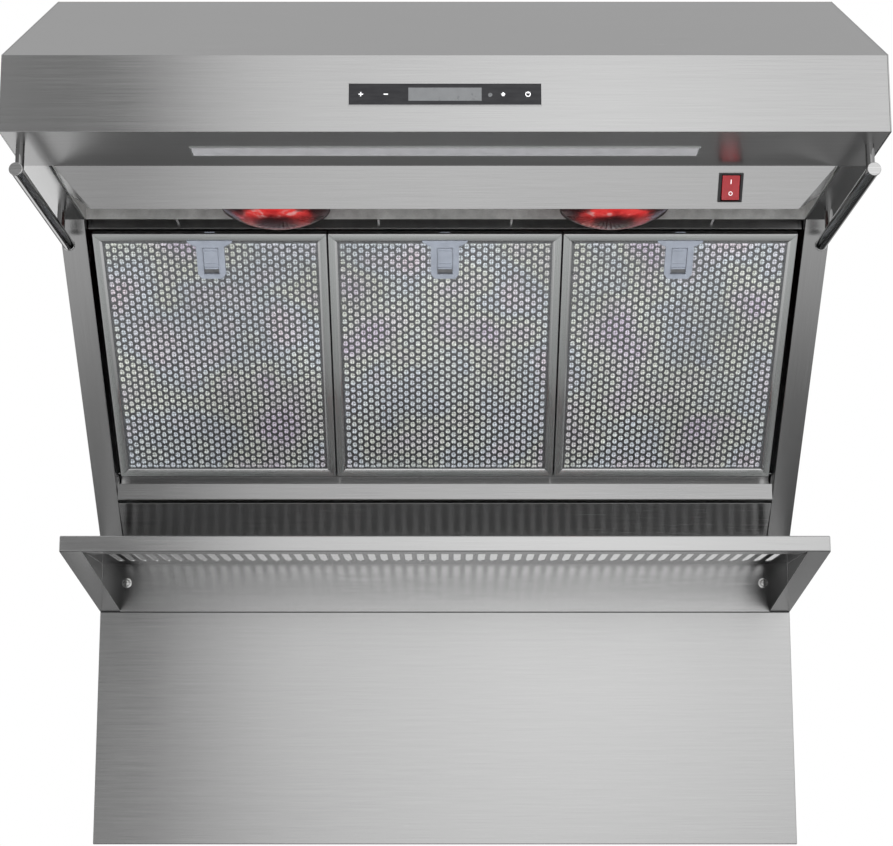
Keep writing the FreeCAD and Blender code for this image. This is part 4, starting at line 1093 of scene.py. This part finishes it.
def paint_floor_reflection(s):
    """A painted reflection of the floor for the steel: glossy rays see a graded glow, bright in front and
    dark below as painted shadow. The floor is clear from below.
    """
    place = s.split(s.coordinates())
    light = s.tint(s.graded(place["Y"], PAINTED_FLOOR_FORE), s.graded(place["X"], PAINTED_FLOOR_SIDES))
    for sides, fore in PAINTED_FLOOR_PATCHES:
        light = s.mix("ADD", light, s.tint(s.graded(place["X"], sides), s.graded(place["Y"], fore)))
    emission = s.node("ShaderNodeEmission")
    s.link(light, emission.inputs["Color"])
    from_above = s.choose(s.node("ShaderNodeLightPath").outputs["Is Glossy Ray"],
                          s.principled.outputs["BSDF"], emission.outputs["Emission"])
    both_sides = s.choose(s.node("ShaderNodeNewGeometry").outputs["Backfacing"], from_above,
                          s.node("ShaderNodeBsdfTransparent").outputs["BSDF"])
    s.link(both_sides, s.tree.nodes["Material Output"].inputs["Surface"])


def make_world():
    """Soft studio surroundings: white behind the object, and a graded tent that the steel mirrors."""
    world = bpy.data.worlds.new("studio")
    bpy.context.scene.world = world
    world.use_nodes = True
    world.node_tree.nodes.clear()
    n = Nodes(world.node_tree)
    direction = n.node("ShaderNodeSeparateXYZ")
    n.link(n.node("ShaderNodeTexCoord").outputs["Generated"], direction.inputs["Vector"])
    across, depth, height = (n.graded(direction.outputs[axis], stops) for axis, stops in
                             (("X", TENT_ACROSS), ("Y", TENT_DEPTH), ("Z", TENT_HEIGHT)))
    overhead = n.graded(direction.outputs["Z"], [(0.45, 0.0), (0.70, 1.0)])
    tent = n.node("ShaderNodeBackground")
    n.link(n.mix("MIX", n.tint(n.tint(across, depth), height), TENT_ROOF, overhead), tent.inputs["Color"])
    backdrop = n.node("ShaderNodeBackground")
    backdrop.inputs["Color"].default_value = (1.0, 1.0, 1.0, 1.0)
    seen = n.choose(n.node("ShaderNodeLightPath").outputs["Is Camera Ray"],
                    tent.outputs["Background"], backdrop.outputs["Background"])
    n.link(seen, n.node("ShaderNodeOutputWorld").inputs["Surface"])


def add_softbox(name, place, target, width, height, power):
    """A large soft area light that neither the camera nor the steel sees."""
    data = bpy.data.lights.new(name, "AREA")
    data.shape = "RECTANGLE"
    data.size = width
    data.size_y = height
    data.energy = power
    lamp = bpy.data.objects.new(name, data)
    bpy.context.scene.collection.objects.link(lamp)
    lamp.location = place
    lamp.rotation_mode = "QUATERNION"
    lamp.rotation_quaternion = (Vector(target) - Vector(place)).to_track_quat("-Z", "Y")
    lamp.visible_camera = False
    lamp.visible_glossy = False


def make_lights():
    add_softbox("key_light", (1.6, -3.4, 3.0), (0, -0.3, -0.3), 3.0, 2.4, 40)
    add_softbox("floor_wash", (0.0, -2.6, 1.4), (0, -1.7, -1.3), 2.6, 1.2, 16)
    add_softbox("low_fill", (0.0, -2.2, -0.80), (0, -0.2, -0.3), 2.2, 0.7, 30)


CAMERA_LENS = 65.87
CAMERA_SHIFT = (0.0017, 0.12)
CAMERA_FROM_WALL = 2.130
CAMERA_BELOW_TOP = 0.8968
CAMERA_TILT = 8.75


def make_camera():
    """The photograph's viewpoint: in front of the hood and a little below it, looking up."""
    back_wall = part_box("back_panel")[1].y
    top_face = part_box("canopy_shell")[1].z
    data = bpy.data.cameras.new("view")
    data.sensor_width = 36.0
    data.lens = CAMERA_LENS
    data.shift_x, data.shift_y = CAMERA_SHIFT
    camera = bpy.data.objects.new("view", data)
    bpy.context.scene.collection.objects.link(camera)
    camera.location = (0.0, back_wall - CAMERA_FROM_WALL, top_face - CAMERA_BELOW_TOP)
    camera.rotation_euler = (math.radians(90 + CAMERA_TILT), 0, 0)
    bpy.context.scene.camera = camera


finish_cad_nodes()
make_sheet_metal()
make_filters()
make_lamps()
make_rocker()
make_controls()
make_light_bar()
make_rails()
make_shelf_screws()
make_stage()
make_world()
make_lights()
make_camera()
bpy.context.scene.view_settings.view_transform = "Standard"
